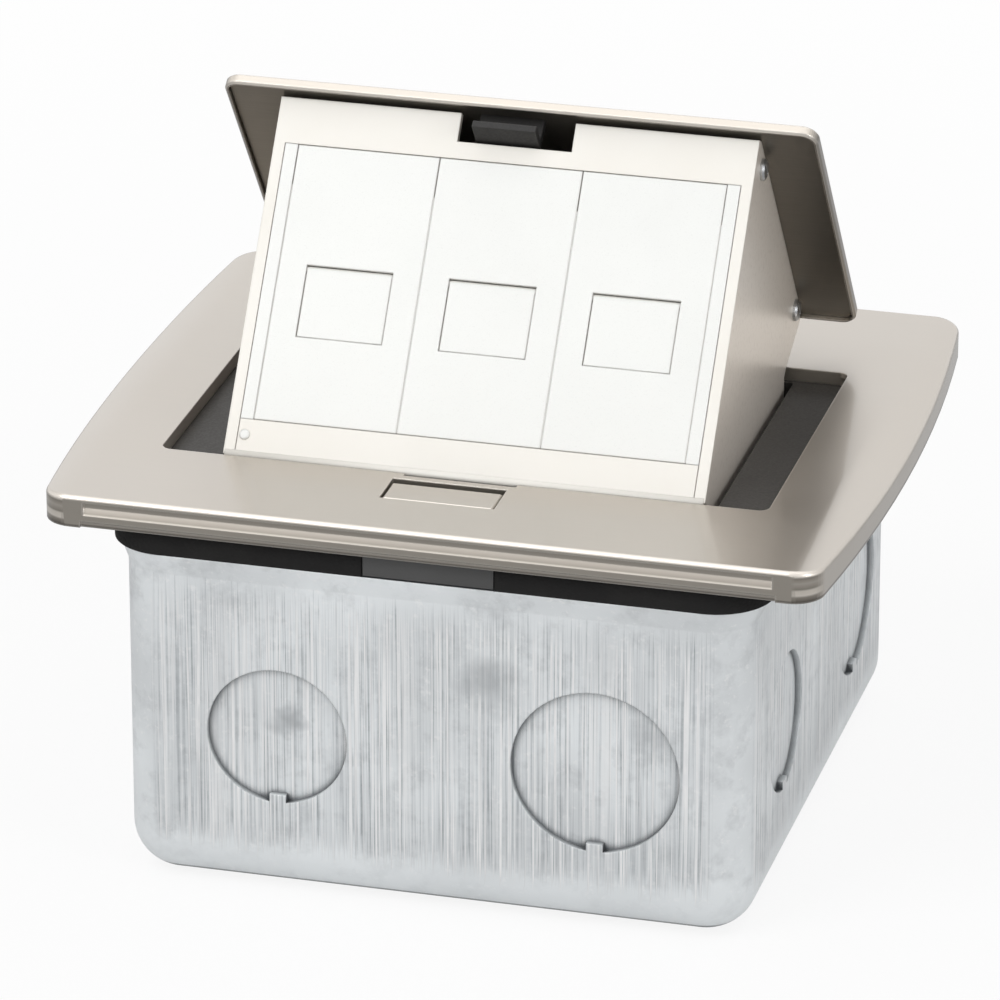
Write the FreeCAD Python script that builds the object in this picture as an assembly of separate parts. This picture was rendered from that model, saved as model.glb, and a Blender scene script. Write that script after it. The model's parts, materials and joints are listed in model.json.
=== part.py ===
import FreeCAD, Part
import math
import os

os.makedirs("parts", exist_ok=True)
V = FreeCAD.Vector

# ---------------------------------------------------------------------------
# Floor socket box: a pop-up cassette of data modules in a floor plate, over a
# galvanised steel back box.  All lengths in mm.
#
# Working frame of this file ("plate frame"): X to the right, Y to the rear,
# Z up, with Z = 0 on the top face of the cover plate and Y = 0 at its middle.
# Every shape is moved to the row frame (middle of the box base) on export.
# ---------------------------------------------------------------------------

# --- modules: the size that the rest follows ----------------------------------
MODULE_PITCH = 22.5
MODULES = 3
MODULE_GAP = 0.15
MODULE_FACE_T = 2.2
MODULE_EDGE = 0.15        # rounding round the front of a module
WIN_HALF_W = 6.85
WIN_H = 11.45
WIN_RISE = 13.5         # window's lower edge over the lower border
FLAP_T = 1.2
FLAP_SINK = 0.25
FLAP_GAP = 0.15
FLAP_PIN_R = 0.55
FLAP_PIN_CLEARANCE = 0.05
FLAP_PIN_OUT = 0.95     # how far the axle stands out of each end of the flap
JACK_SIDE_GAP = 0.65
JACK_DEPTH = 24.0
JACK_END_GAP = 1.75
CHAMBER_DEPTH = 13.0
CHAMBER_SIDE = 0.75     # the chamber is this much wider than the window, each side
CHAMBER_BELOW = 0.6
CHAMBER_ABOVE = 0.8
HOLLOW_WALL = 2.0
CONTACTS = 8
CONTACT_PITCH = 1.02
CONTACT_HALF_W = 0.18
CONTACT_T = 0.35
CONTACT_START = 5.0
TERM_HALF_W = 8.0
TERM_DEPTH = 7.0
TERM_LOW = 12.0
TERM_H = 20.0
TERM_SLOTS = 4
TERM_SLOT_PITCH = 4.6
TERM_SLOT_T = 0.6
TERM_SLOT_DEEP = 3.0

# --- cradle, across ------------------------------------------------------------
CRADLE_SIDE = 3.9       # side plate and its clearance, outside the row of modules
SHEET = 1.75
ROW_HALF_W = MODULES * MODULE_PITCH / 2
CRADLE_HALF_W = ROW_HALF_W + CRADLE_SIDE

# --- lid ---------------------------------------------------------------------
LID_SIDE = 9.05         # the lid reaches this far outside the cradle
LID_HALF_W = CRADLE_HALF_W + LID_SIDE
LID_LEN = 54.4
FRONT_BORDER = 21.6     # plate in front of the closed lid
REAR_BORDER = 29.0      # plate behind it
PLATE_HALF_D = (FRONT_BORDER + LID_LEN + REAR_BORDER) / 2
LID_FRONT = FRONT_BORDER - PLATE_HALF_D     # closed position
LID_REAR = LID_FRONT + LID_LEN
LID_RIM = 1.8
LID_T = 0.6
LID_R = 2.6
LID_EDGE = 0.35
STIFF_T = 0.5
STIFF_GAP = 0.1
LID_SCREW_FRONT = 8.2   # cradle screws, from the lid's front edge
LID_SCREW_REAR = 5.5    # and from its rear edge

# --- opening and inner frame (the dark well that the lid closes onto) ----------
OPEN_HALF_W = LID_HALF_W + 0.7
OPEN_FRONT = LID_FRONT - 0.3
OPEN_REAR = LID_REAR + 1.6
OPEN_R = 1.6
FRAME_HALF_W = OPEN_HALF_W + 9.1
FRAME_R = 5.0
WELL_GAP = 1.05         # between the cradle's side and the well
WELL_HALF_W = CRADLE_HALF_W + WELL_GAP
WELL_FRONT = OPEN_FRONT - 0.5
WELL_REAR = OPEN_REAR - 0.7
WELL_WALL = 1.5
WELL_DEPTH = 9.0
WELL_BACK = 2.6         # side walls of the well run on behind its rear edge
WELL_R = 0.8

# --- hinge -------------------------------------------------------------------
PIVOT_Y = OPEN_REAR + 10.1
PIVOT_Z = -9.0
PIN_R = 1.5
PIN_CLEARANCE = 0.05
PIN_REACH = 10.25       # inner end of the pin, inside the cradle's side
PIN_HEAD_R = 2.6
PIN_HEAD_T = 1.2
PIN_RING_T = 0.5
ARM_R = 3.4
OPEN_DEG = 52.8         # turn from closed to open
SIDE_GAP = 0.4          # between an arm and its bracket
BRACKET_T = 2.5
BRACKET_R = 3.9
WIRE_R = 0.5
COIL_CLEARANCE = 0.15
COIL_PITCH = 1.15
COIL_TURNS = 5
COIL_GROOVE = 0.35
SPRING_LEG = 6.5
PAD_T = 0.45             # rubber stop over each arm
PAD_L = 4.0
PAD_DISTANCE = 4.2      # from the hinge axis

# --- cover plate -------------------------------------------------------------
PLATE_BOW = 3.2         # the left and right sides bow out by this much
PLATE_HALF_W = FRAME_HALF_W + PLATE_BOW + 3.0
PLATE_R = 4.8
PLATE_T = 2.2           # metal at the opening
PLATE_EDGE = 0.7
RIM_H = 5.0
RIM_T = 1.6
DOME_FLAT = PLATE_HALF_W - 7.2     # the top is flat out to here, then rolls over
DOME_DROP = 1.5
FRAME_HALF_D = PLATE_HALF_D - 4.0

# --- back box (drawn sheet steel) ------------------------------------------
BOX_W = 2 * (OPEN_HALF_W + 1.7)    # outside width, X
BOX_D = 2 * (PLATE_HALF_D - 2.3)   # outside depth, Y
BOX_H = 55.0            # base to top edge
BOX_T = 1.2             # sheet
BOX_R = 8.0             # upright corners, outside
BOX_BASE_R = 7.6        # edge round the base, outside
BOX_SHIFT = 0.8         # the box sits this far behind the plate's middle
LIP_FLARE = 1.2         # the top edge is opened out by this much
LIP_H = 3.5
COLLAR_H = 4.0          # foam between the box and the frame
PLATE_TOP = BOX_H + COLLAR_H + RIM_H    # the plate's top face over the base
FIX_PITCH_X = 60.0      # slots in the base for screws into the floor
FIX_PITCH_Y = 64.0
FIX_SLOT_R = 2.3
FIX_SLOT_L = 10.0

# knockouts pressed part way through the walls
KO_SMALL_R = 11.0       # for 20 mm conduit
KO_LARGE_R = 13.1       # for 25 mm conduit
KO_RISE = 26.5          # centre over the base
KO_DROP = PLATE_TOP - KO_RISE
KO_SMALL_X = -24.0
KO_LARGE_X = 25.6
KO_SINK = 1.0           # how far the disc is pushed in
KO_TAB = 2.6            # width of the bridge that still holds the disc

# foam collar, frame screws, lugs, clips, earth terminal
COLLAR_OUT = 0.8        # the foam collar stands out beyond the box lip
COLLAR_W = 3.7
COLLAR_R = 9.0
SEAL_T = 0.6
SEAL_INSET = 0.3
SEAL_HALF_L = FRAME_HALF_D - 4.5
BOSS_R = 3.6
BOSS_X = OPEN_HALF_W - 5.4
BOSS_FRONT = 11.5 - PLATE_HALF_D
BOSS_REAR = PLATE_HALF_D - 9.0
FRAME_SCREW_R = 1.75
FRAME_SCREW_HEAD_R = 3.1
FRAME_SCREW_HEAD_H = 1.7
FRAME_SCREW_L = 20.0
LUG_DROP = 11.8
LUG_T = 1.5
LUG_W = 8.0
LUG_H = 10.0
LUG_REACH = 3.3
CLIP_T = 0.4
CLIP_REACH = 2.6
CLIP_HALF_W = 4.0
CLIP_Y = PLATE_HALF_D - 22.5
EARTH_X = 14.1 - BOX_W / 2          # in the rear left corner, seen from the front
EARTH_Y = BOX_D / 2 + BOX_SHIFT - 17.0
EARTH_HALF = 4.0
EARTH_H = 7.0

# --- cradle, along its face --------------------------------------------------
FACE_Y = LID_FRONT + 0.3    # lower front corner of the open cradle
FACE_Z = 0.0
FACE_DEG = 54.0         # the face leans back to this angle above the floor
LID_TO_FACE = 0.64      # between the face's top edge and the lid's stiffener
BORDER_LOW = 5.65
BORDER_TOP = 7.25       # height of the top border
BORDER_T = 1.2
NOTCH_HALF_W = 9.0
CRADLE_DEPTH = 36.0     # side plates behind the face, at their lower edge
NOTCH_DEPTH = 4.55
SCREW_DEPTH = 3.5
SCREW_R = 1.0
SCREW_HEAD_R = 1.7
SCREW_HEAD_H = 0.7
PANEL_GAP = 0.1
PANEL_SHELF = 20.0
PANEL_FOOT = 0.0
PANEL_R = 0.7
RIVET_R = 0.8
RIVET_IN = 1.15
RIVET_RISE = 3.2

# --- latch -------------------------------------------------------------------
LATCH_X = -1.15
BUTTON_HALF_W = 8.6
BUTTON_REAR = OPEN_FRONT - 3.55
BUTTON_FRONT = BUTTON_REAR - 6.1
LATCH_TRAVEL = 1.3
LATCH_GAP = 0.15        # free play round the button and the slide
LATCH_SIDE = 3.6        # the latch's bay is this much wider than the button, each side
GATE_X0 = -10.2         # gap in the frame and foam in front of the latch
GATE_X1 = 10.4
TONGUE_TIP = WELL_FRONT
TONGUE_TOP = -3.1
TONGUE_T = 1.3
TONGUE_HALF_W = 4.5
CATCH_HALF_W = 5.0
CATCH_T = 1.1

BOX_BASE = -PLATE_TOP
BOX_TOP = BOX_BASE + BOX_H
LUG_TOP = -LUG_DROP
UNDER = -PLATE_T        # underside of the plate, top of the inner frame
RIM_LOW = -RIM_H
LID_UNDER = -LID_T - STIFF_T


# ---------------------------------------------------------------------------
# small makers
# ---------------------------------------------------------------------------
def block(x0, x1, y0, y1, z0, z1):
    """Plain block between two corners."""
    return Part.makeBox(x1 - x0, y1 - y0, z1 - z0, V(x0, y0, z0))


def rounded_wire(x0, x1, y0, y1, r, z):
    """Rectangle with rounded corners in a level plane."""
    k = r * (1 - math.sqrt(0.5))
    pts = {
        "a": V(x0 + r, y0, z), "b": V(x1 - r, y0, z),
        "c": V(x1, y0 + r, z), "d": V(x1, y1 - r, z),
        "e": V(x1 - r, y1, z), "f": V(x0 + r, y1, z),
        "g": V(x0, y1 - r, z), "h": V(x0, y0 + r, z),
    }
    edges = [
        Part.makeLine(pts["a"], pts["b"]),
        Part.Arc(pts["b"], V(x1 - k, y0 + k, z), pts["c"]).toShape(),
        Part.makeLine(pts["c"], pts["d"]),
        Part.Arc(pts["d"], V(x1 - k, y1 - k, z), pts["e"]).toShape(),
        Part.makeLine(pts["e"], pts["f"]),
        Part.Arc(pts["f"], V(x0 + k, y1 - k, z), pts["g"]).toShape(),
        Part.makeLine(pts["g"], pts["h"]),
        Part.Arc(pts["h"], V(x0 + k, y0 + k, z), pts["a"]).toShape(),
    ]
    return Part.Wire(edges)


def slab(x0, x1, y0, y1, z0, z1, r):
    """Level slab with rounded upright corners."""
    face = Part.Face(rounded_wire(x0, x1, y0, y1, r, z0))
    return face.extrude(V(0, 0, z1 - z0))


def rod(r, start, direction, length):
    """Round rod."""
    return Part.makeCylinder(r, length, start, direction)


def yz_prism(points, x0, x1):
    """Prism along X over a closed outline given as (y, z) pairs."""
    ring = [V(x0, y, z) for y, z in points]
    face = Part.Face(Part.makePolygon(ring + ring[:1]))
    return face.extrude(V(x1 - x0, 0, 0))


def fuse(*shapes):
    """One solid from several that touch."""
    out = shapes[0]
    for s in shapes[1:]:
        out = out.fuse(s)
    return out.removeSplitter()


def mirror_x(shape):
    """The same piece on the other side."""
    return shape.mirror(V(0, 0, 0), V(1, 0, 0))


def edges_where(shape, test):
    """Edges whose middle passes the test."""
    picked = []
    for e in shape.Edges:
        mid = e.valueAt(0.5 * (e.FirstParameter + e.LastParameter))
        if test(mid, e):
            picked.append(e)
    return picked


def upright(edge):
    """True for a straight edge along Z."""
    box = edge.BoundBox
    return box.XLength < 1e-6 and box.YLength < 1e-6


def in_face(shape):
    """From face axes (X, depth, up the face) to the open cradle's place."""
    s = shape.copy()
    s.rotate(V(0, 0, 0), V(1, 0, 0), FACE_DEG - 90.0)
    s.translate(V(0, FACE_Y, FACE_Z))
    return s


def in_lid(shape):
    """From the closed lid's place to the open lid's place."""
    s = shape.copy()
    s.rotate(V(0, PIVOT_Y, PIVOT_Z), V(1, 0, 0), -OPEN_DEG)
    return s


def lid_point(s, depth):
    """(y, z) of a point on the open lid, s back from its front edge."""
    a = math.radians(-OPEN_DEG)
    dy = LID_FRONT + s - PIVOT_Y
    dz = -depth - PIVOT_Z
    y = PIVOT_Y + dy * math.cos(a) - dz * math.sin(a)
    z = PIVOT_Z + dy * math.sin(a) + dz * math.cos(a)
    return (y, z)


def face_point(v, depth):
    """(y, z) of a point on the open cradle, v up its face."""
    a = math.radians(FACE_DEG)
    y = FACE_Y + v * math.cos(a) + depth * math.sin(a)
    z = FACE_Z + v * math.sin(a) - depth * math.cos(a)
    return (y, z)


def depth_under_lid(y, z):
    """How far a point lies under the open lid's top face."""
    a = math.radians(OPEN_DEG)
    return -(PIVOT_Z + (y - PIVOT_Y) * math.sin(a) + (z - PIVOT_Z) * math.cos(a))


def face_length():
    """Length up the face to where its top edge meets the lid's underside."""
    start = depth_under_lid(*face_point(0, 0))
    per_mm = start - depth_under_lid(*face_point(1, 0))
    return (start - LID_TO_FACE + LID_UNDER) / per_mm


FACE_LEN = face_length()
BORDER_HIGH = FACE_LEN - BORDER_TOP
NOTCH_FLOOR = FACE_LEN - NOTCH_DEPTH
WIN_LOW = BORDER_LOW + WIN_RISE
WIN_HIGH = WIN_LOW + WIN_H


def screw(x, y, top, length, r, head_r, head_h):
    """Countersunk-flat screw standing on Z, with a cross slot."""
    shank = rod(r, V(x, y, top - length), V(0, 0, 1), length)
    head = rod(head_r, V(x, y, top - head_h), V(0, 0, 1), head_h)
    body = fuse(shank, head)
    arm = head_r * 0.7
    cut = 0.25 * head_h + 0.35
    body = body.cut(block(x - arm, x + arm, y - 0.35, y + 0.35, top - cut, top + 1))
    return body.cut(block(x - 0.35, x + 0.35, y - arm, y + arm, top - cut, top + 1))


parts = {}

# ---------------------------------------------------------------------------
# back box
# ---------------------------------------------------------------------------
bx = BOX_W / 2
by0 = BOX_SHIFT - BOX_D / 2
by1 = BOX_SHIFT + BOX_D / 2
lip_z = BOX_TOP - LIP_H


def tub(inset, z_low, z_high):
    """Solid tub with round corners and a round base edge."""
    r = BOX_R - inset
    low_r = BOX_BASE_R - inset
    s = slab(-bx + inset, bx - inset, by0 + inset, by1 - inset, z_low, z_high, r)
    low = edges_where(s, lambda m, e: abs(m.z - z_low) < 1e-6)
    return s.makeFillet(low_r, low)


def lip(inset):
    """Opened-out top edge of the tub."""
    r = BOX_R - inset
    low = rounded_wire(-bx + inset, bx - inset, by0 + inset, by1 - inset, r, lip_z)
    f = LIP_FLARE - inset
    high = rounded_wire(-bx - f, bx + f, by0 - f, by1 + f, r + LIP_FLARE, BOX_TOP)
    return Part.makeLoft([low, high], True, True)


shell = tub(0, BOX_BASE, lip_z).cut(tub(BOX_T, BOX_BASE + BOX_T, lip_z + 1))
shell = fuse(shell, lip(0).cut(lip(BOX_T)))

# side walls: (outward normal, small knockout centre, large knockout centre)
walls = [
    (V(0, -1, 0), V(KO_SMALL_X, by0, -KO_DROP), V(KO_LARGE_X, by0, -KO_DROP)),
    (V(0, 1, 0), V(-KO_SMALL_X, by1, -KO_DROP), V(-KO_LARGE_X, by1, -KO_DROP)),
    (V(1, 0, 0), V(bx, KO_SMALL_X, -KO_DROP), V(bx, KO_LARGE_X, -KO_DROP)),
    (V(-1, 0, 0), V(-bx, KO_SMALL_X, -KO_DROP), V(-bx, KO_LARGE_X, -KO_DROP)),
]
pockets = []
for normal, small, large in walls:
    for centre, r in ((small, KO_SMALL_R), (large, KO_LARGE_R)):
        inward = normal * -1
        boss = rod(r, centre + inward * (BOX_T * 0.5), inward, KO_SINK + BOX_T * 0.5)
        shell = shell.fuse(boss)
        pocket = rod(r, centre + normal, inward, KO_SINK + 1)
        half = KO_TAB / 2
        if abs(normal.y) > 0.5:
            tab = block(centre.x - half, centre.x + half, centre.y - 3, centre.y + 3,
                        centre.z - r - 1, centre.z - r + 1.3)
        else:
            tab = block(centre.x - 3, centre.x + 3, centre.y - half, centre.y + half,
                        centre.z - r - 1, centre.z - r + 1.3)
        pockets.append(pocket.cut(tab))
for pocket in pockets:
    shell = shell.cut(pocket)

# slots in the base for fixing screws
for sx in (-1, 1):
    for sy in (-1, 1):
        cx = sx * FIX_PITCH_X / 2
        cy = BOX_SHIFT + sy * FIX_PITCH_Y / 2
        half = FIX_SLOT_L / 2
        shell = shell.cut(slab(cx - half, cx + half, cy - FIX_SLOT_R, cy + FIX_SLOT_R,
                               BOX_BASE - 1, BOX_BASE + BOX_T + 1, FIX_SLOT_R - 0.001))
parts["back_box"] = shell.removeSplitter()

# folded lugs spot-welded inside the box, one under each frame screw
lugs = []
for sx in (-1, 1):
    for cy in (BOSS_FRONT, BOSS_REAR):
        wall = bx - BOX_T
        # the welded leg ends where the box's corner round begins
        turn = math.copysign(1, cy)
        corner = by1 - BOX_R if cy > 0 else by0 + BOX_R
        inner_y = cy - turn * LUG_REACH
        tip_y = cy + turn * LUG_REACH
        leg_y = corner - turn * LUG_W
        tab = block(BOSS_X - LUG_REACH, BOSS_X + LUG_REACH, min(inner_y, tip_y),
                    max(inner_y, tip_y), LUG_TOP - LUG_T, LUG_TOP)
        arm = block(BOSS_X, wall, min(inner_y, corner), max(inner_y, corner),
                    LUG_TOP - LUG_T, LUG_TOP)
        leg = block(wall - LUG_T, wall, min(leg_y, corner), max(leg_y, corner),
                    LUG_TOP - LUG_H, LUG_TOP)
        tab = fuse(tab, arm)
        lug = fuse(tab, leg)
        lug = lug.cut(rod(FRAME_SCREW_R, V(BOSS_X, cy, LUG_TOP - 5), V(0, 0, 1), 6))
        if sx < 0:
            lug = mirror_x(lug)
        lugs.append(lug)
parts["box_lugs"] = Part.makeCompound(lugs)

# earth terminal standing on the box floor
floor_z = BOX_BASE + BOX_T
post = block(EARTH_X - EARTH_HALF, EARTH_X + EARTH_HALF, EARTH_Y - EARTH_HALF, EARTH_Y + EARTH_HALF,
             floor_z, floor_z + EARTH_H)
post = post.cut(rod(1.6, V(EARTH_X - EARTH_HALF - 1, EARTH_Y, floor_z + 3), V(1, 0, 0), 2 * EARTH_HALF + 2))
post = post.cut(rod(1.5, V(EARTH_X, EARTH_Y, floor_z + 3), V(0, 0, 1), EARTH_H))
parts["earth_terminal"] = post
parts["earth_screw"] = screw(EARTH_X, EARTH_Y, floor_z + EARTH_H + 2, 5.0, 1.5, 2.8, 2.0)

# ---------------------------------------------------------------------------
# cover plate
# ---------------------------------------------------------------------------


def plate_outline(inset, z0, z1):
    """Slab with bowed left and right sides and round corners."""
    w = PLATE_HALF_W - inset
    c = w - PLATE_BOW
    d = PLATE_HALF_D - inset
    edges = [
        Part.makeLine(V(-c, -d, z0), V(c, -d, z0)),
        Part.Arc(V(c, -d, z0), V(w, 0, z0), V(c, d, z0)).toShape(),
        Part.makeLine(V(c, d, z0), V(-c, d, z0)),
        Part.Arc(V(-c, d, z0), V(-w, 0, z0), V(-c, -d, z0)).toShape(),
    ]
    s = Part.Face(Part.Wire(edges)).extrude(V(0, 0, z1 - z0))
    return s.makeFillet(PLATE_R - inset, edges_where(s, lambda m, e: upright(e)))


def dome(z_low):
    """Prism along Y whose top rolls over towards the left and right sides."""
    run = PLATE_HALF_W - DOME_FLAT + 0.3
    big = (run ** 2 + DOME_DROP ** 2) / (2 * DOME_DROP)
    half = 0.5 * math.asin(run / big)
    end = DOME_FLAT + run
    mx = big * math.sin(half)
    mz = big * math.cos(half) - big
    y = -PLATE_HALF_D - 2
    edges = [
        Part.makeLine(V(-DOME_FLAT, y, 0), V(DOME_FLAT, y, 0)),
        Part.Arc(V(DOME_FLAT, y, 0), V(DOME_FLAT + mx, y, mz), V(end, y, -DOME_DROP)).toShape(),
        Part.makeLine(V(end, y, -DOME_DROP), V(end, y, z_low)),
        Part.makeLine(V(end, y, z_low), V(-end, y, z_low)),
        Part.makeLine(V(-end, y, z_low), V(-end, y, -DOME_DROP)),
        Part.Arc(V(-end, y, -DOME_DROP), V(-DOME_FLAT - mx, y, mz), V(-DOME_FLAT, y, 0)).toShape(),
    ]
    return Part.Face(Part.Wire(edges)).extrude(V(0, 2 * PLATE_HALF_D + 4, 0))


plate = plate_outline(0, RIM_LOW, 0.5).common(dome(RIM_LOW - 1))


def on_top_edge(m, e):
    """Outer edges where the top meets the rim."""
    w_here = PLATE_HALF_W - PLATE_BOW * (m.y / PLATE_HALF_D) ** 2
    near_side = abs(m.y) > PLATE_HALF_D - 4.5 or abs(m.x) > w_here - 4.0
    return near_side and m.z > -DOME_DROP - 0.2 and not upright(e) and e.Length > 1.5


top_edges = [e for e in edges_where(plate, on_top_edge)
             if abs(abs(e.valueAt(e.FirstParameter).x) - DOME_FLAT) > 1e-3
             or abs(e.valueAt(e.FirstParameter).y - e.valueAt(e.LastParameter).y) < 1e-3]
plate = plate.makeFillet(PLATE_EDGE, top_edges)

# stepped front and rear rims: a recess below the top edge, then a sloping bead
d = PLATE_HALF_D
for side in (-1, 1):
    step = [(side * (d + 1), -0.95), (side * (d - 0.55), -0.95), (side * (d - 0.55), -1.9),
            (side * d, -3.0), (side * (d + 1), -3.0)]
    plate = plate.cut(yz_prism(step, -PLATE_HALF_D - 0.5, PLATE_HALF_D + 0.5))
    foot = [(side * (d + 1), -3.95), (side * d, -3.95), (side * (d - 0.45), -4.25),
            (side * (d - 0.45), RIM_LOW - 1), (side * (d + 1), RIM_LOW - 1)]
    plate = plate.cut(yz_prism(foot, -PLATE_HALF_D - 1, PLATE_HALF_D + 1))

plate = plate.cut(plate_outline(RIM_T, RIM_LOW - 1, UNDER))
opening = slab(-OPEN_HALF_W, OPEN_HALF_W, OPEN_FRONT, OPEN_REAR, UNDER - 1, 1, OPEN_R)
plate = plate.cut(opening)
# clearance notch for the catch, and the slot that the button slides in
plate = plate.cut(block(0.2 - NOTCH_HALF_W, NOTCH_HALF_W - 0.2, OPEN_FRONT - 0.8, OPEN_FRONT + 2,
                        UNDER - 1, 1))
slot = block(LATCH_X - BUTTON_HALF_W - LATCH_GAP * 2, LATCH_X + BUTTON_HALF_W + LATCH_GAP * 2,
             BUTTON_FRONT - LATCH_GAP, BUTTON_REAR + LATCH_TRAVEL + LATCH_GAP, UNDER - 1, 1)
plate = plate.cut(slot)
parts["cover_plate"] = plate

# spring clips that hold the plate down on the inner frame
clips = []
for sx in (-1, 1):
    for cy in (-CLIP_Y, CLIP_Y):
        web = block(FRAME_HALF_W, FRAME_HALF_W + CLIP_T, cy - CLIP_HALF_W, cy + CLIP_HALF_W,
                    RIM_LOW + CLIP_T, UNDER)
        foot = block(FRAME_HALF_W + CLIP_T, FRAME_HALF_W + CLIP_REACH, cy - CLIP_HALF_W,
                     cy + CLIP_HALF_W, UNDER - CLIP_T - 0.1, UNDER)
        clip = fuse(web, foot)
        clips.append(clip if sx > 0 else mirror_x(clip))
parts["plate_clips"] = Part.makeCompound(clips)

# ---------------------------------------------------------------------------
# inner frame, foam collar, floor seals, frame screws
# ---------------------------------------------------------------------------
frame = slab(-FRAME_HALF_W, FRAME_HALF_W, -FRAME_HALF_D, FRAME_HALF_D, RIM_LOW, UNDER, FRAME_R)
for sx in (-1, 1):
    for cy in (BOSS_FRONT, BOSS_REAR):
        frame = frame.fuse(rod(BOSS_R, V(sx * BOSS_X, cy, LUG_TOP), V(0, 0, 1), RIM_LOW - LUG_TOP))
well_out = slab(-WELL_HALF_W - WELL_WALL, WELL_HALF_W + WELL_WALL, WELL_FRONT - WELL_WALL, WELL_REAR + WELL_BACK,
                -WELL_DEPTH, RIM_LOW, 2.0)
frame = frame.fuse(well_out)
frame = frame.cut(slab(-WELL_HALF_W, WELL_HALF_W, WELL_FRONT, WELL_REAR,
                       -WELL_DEPTH - 1, 1, WELL_R))
# the well is open at the rear, where the arms swing
frame = frame.cut(block(-WELL_HALF_W, WELL_HALF_W, WELL_REAR - 3, WELL_REAR + WELL_BACK + 1,
                        -WELL_DEPTH - 1, RIM_LOW))
# room for the latch
bay_x0 = LATCH_X - BUTTON_HALF_W - LATCH_SIDE
bay_x1 = LATCH_X + BUTTON_HALF_W + LATCH_SIDE
frame = frame.cut(block(bay_x0, bay_x1, -FRAME_HALF_D + 1.5, WELL_FRONT + 1, -30, 1))
frame = frame.cut(block(GATE_X0, GATE_X1, -FRAME_HALF_D - 1, -FRAME_HALF_D + 2, -30, 1))
for sx in (-1, 1):
    for cy in (BOSS_FRONT, BOSS_REAR):
        frame = frame.cut(rod(FRAME_SCREW_R, V(sx * BOSS_X, cy, -20), V(0, 0, 1), 25))
        seat = V(sx * BOSS_X, cy, UNDER - FRAME_SCREW_HEAD_H - 0.1)
        frame = frame.cut(rod(FRAME_SCREW_HEAD_R, seat, V(0, 0, 1), 5))
parts["inner_frame"] = frame.removeSplitter()

parts["frame_screws"] = Part.makeCompound([
    screw(sx * BOSS_X, cy, UNDER - 0.1, FRAME_SCREW_L, FRAME_SCREW_R, FRAME_SCREW_HEAD_R,
          FRAME_SCREW_HEAD_H)
    for sx in (-1, 1) for cy in (BOSS_FRONT, BOSS_REAR)])

cx1 = bx + LIP_FLARE + COLLAR_OUT
cy0 = by0 - LIP_FLARE
cy1 = by1 + LIP_FLARE
collar = slab(-cx1, cx1, cy0, cy1, BOX_TOP, RIM_LOW, COLLAR_R)
collar = collar.cut(slab(-cx1 + COLLAR_W, cx1 - COLLAR_W, cy0 + COLLAR_W - 0.5,
                         cy1 - COLLAR_W + 0.5, BOX_TOP - 1, RIM_LOW + 1, COLLAR_R - 2))
collar = collar.cut(block(GATE_X0, GATE_X1, cy0 - 1, cy0 + 6, BOX_TOP - 1, RIM_LOW + 1))
parts["foam_collar"] = collar

seal = slab(cx1 + 0.5, FRAME_HALF_W - SEAL_INSET, -SEAL_HALF_L, SEAL_HALF_L, RIM_LOW - SEAL_T,
            RIM_LOW, 1.0)
parts["floor_seals"] = Part.makeCompound([seal, mirror_x(seal)])

# ---------------------------------------------------------------------------
# hinge: bracket, pin, spring and stop pad on each side
# ---------------------------------------------------------------------------
bracket_in = CRADLE_HALF_W + SIDE_GAP
bracket_out = bracket_in + BRACKET_T
bracket = block(bracket_in, bracket_out, PIVOT_Y - BRACKET_R, PIVOT_Y + BRACKET_R, PIVOT_Z, RIM_LOW)
bracket = fuse(bracket, rod(BRACKET_R, V(bracket_in, PIVOT_Y, PIVOT_Z), V(1, 0, 0), BRACKET_T))
bracket = bracket.cut(rod(PIN_R, V(bracket_in - 1, PIVOT_Y, PIVOT_Z), V(1, 0, 0), BRACKET_T + 2))
parts["hinge_bracket_right"] = bracket
parts["hinge_bracket_left"] = mirror_x(bracket)

pin_in = CRADLE_HALF_W - PIN_REACH
pin = rod(PIN_R, V(pin_in, PIVOT_Y, PIVOT_Z), V(1, 0, 0), bracket_out - pin_in)
pin = fuse(pin, rod(PIN_HEAD_R, V(bracket_out, PIVOT_Y, PIVOT_Z), V(1, 0, 0), PIN_HEAD_T))
collar_ring = rod(PIN_HEAD_R, V(CRADLE_HALF_W - SHEET - PIN_RING_T - 0.2, PIVOT_Y, PIVOT_Z),
                  V(1, 0, 0), PIN_RING_T)
pin = fuse(pin, collar_ring)
parts["hinge_pin_right"] = pin
parts["hinge_pin_left"] = mirror_x(pin)

# torsion spring: coil round the pin, one leg up to the frame's underside
def torsion_spring(side):
    """Closely wound spring round one pin, with a leg up to the frame's underside."""
    coil_in = PIN_R + COIL_CLEARANCE
    coil_out = coil_in + 2 * WIRE_R
    x0 = side * (pin_in + 0.8)
    step = side * COIL_PITCH
    # one ridge for each turn, spun round the pin's axis
    ridge = [V(x0, coil_in, 0)]
    for turn in range(COIL_TURNS):
        ridge.append(V(x0 + turn * step, coil_out - COIL_GROOVE, 0))
        ridge.append(V(x0 + (turn + 0.5) * step, coil_out, 0))
    ridge.append(V(x0 + COIL_TURNS * step, coil_out - COIL_GROOVE, 0))
    ridge.append(V(x0 + COIL_TURNS * step, coil_in, 0))
    coil = Part.Face(Part.makePolygon(ridge + ridge[:1])).revolve(V(0, 0, 0), V(1, 0, 0), 360)
    coil = Part.makeSolid(coil.Shells[0])
    if coil.Volume < 0:
        coil.reverse()
    coil.translate(V(0, PIVOT_Y, PIVOT_Z))
    # the leg is flattened wire
    leg_z = PIVOT_Z - coil_in - WIRE_R
    leg_x = x0 + 0.5 * step
    half = 0.8 * WIRE_R
    leg_end = PIVOT_Y + SPRING_LEG
    leg = block(leg_x - half, leg_x + half, PIVOT_Y, leg_end, leg_z - half, leg_z + half)
    rise = block(leg_x - half, leg_x + half, leg_end - 2 * half, leg_end, leg_z - half, RIM_LOW)
    return fuse(coil, leg, rise)


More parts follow.
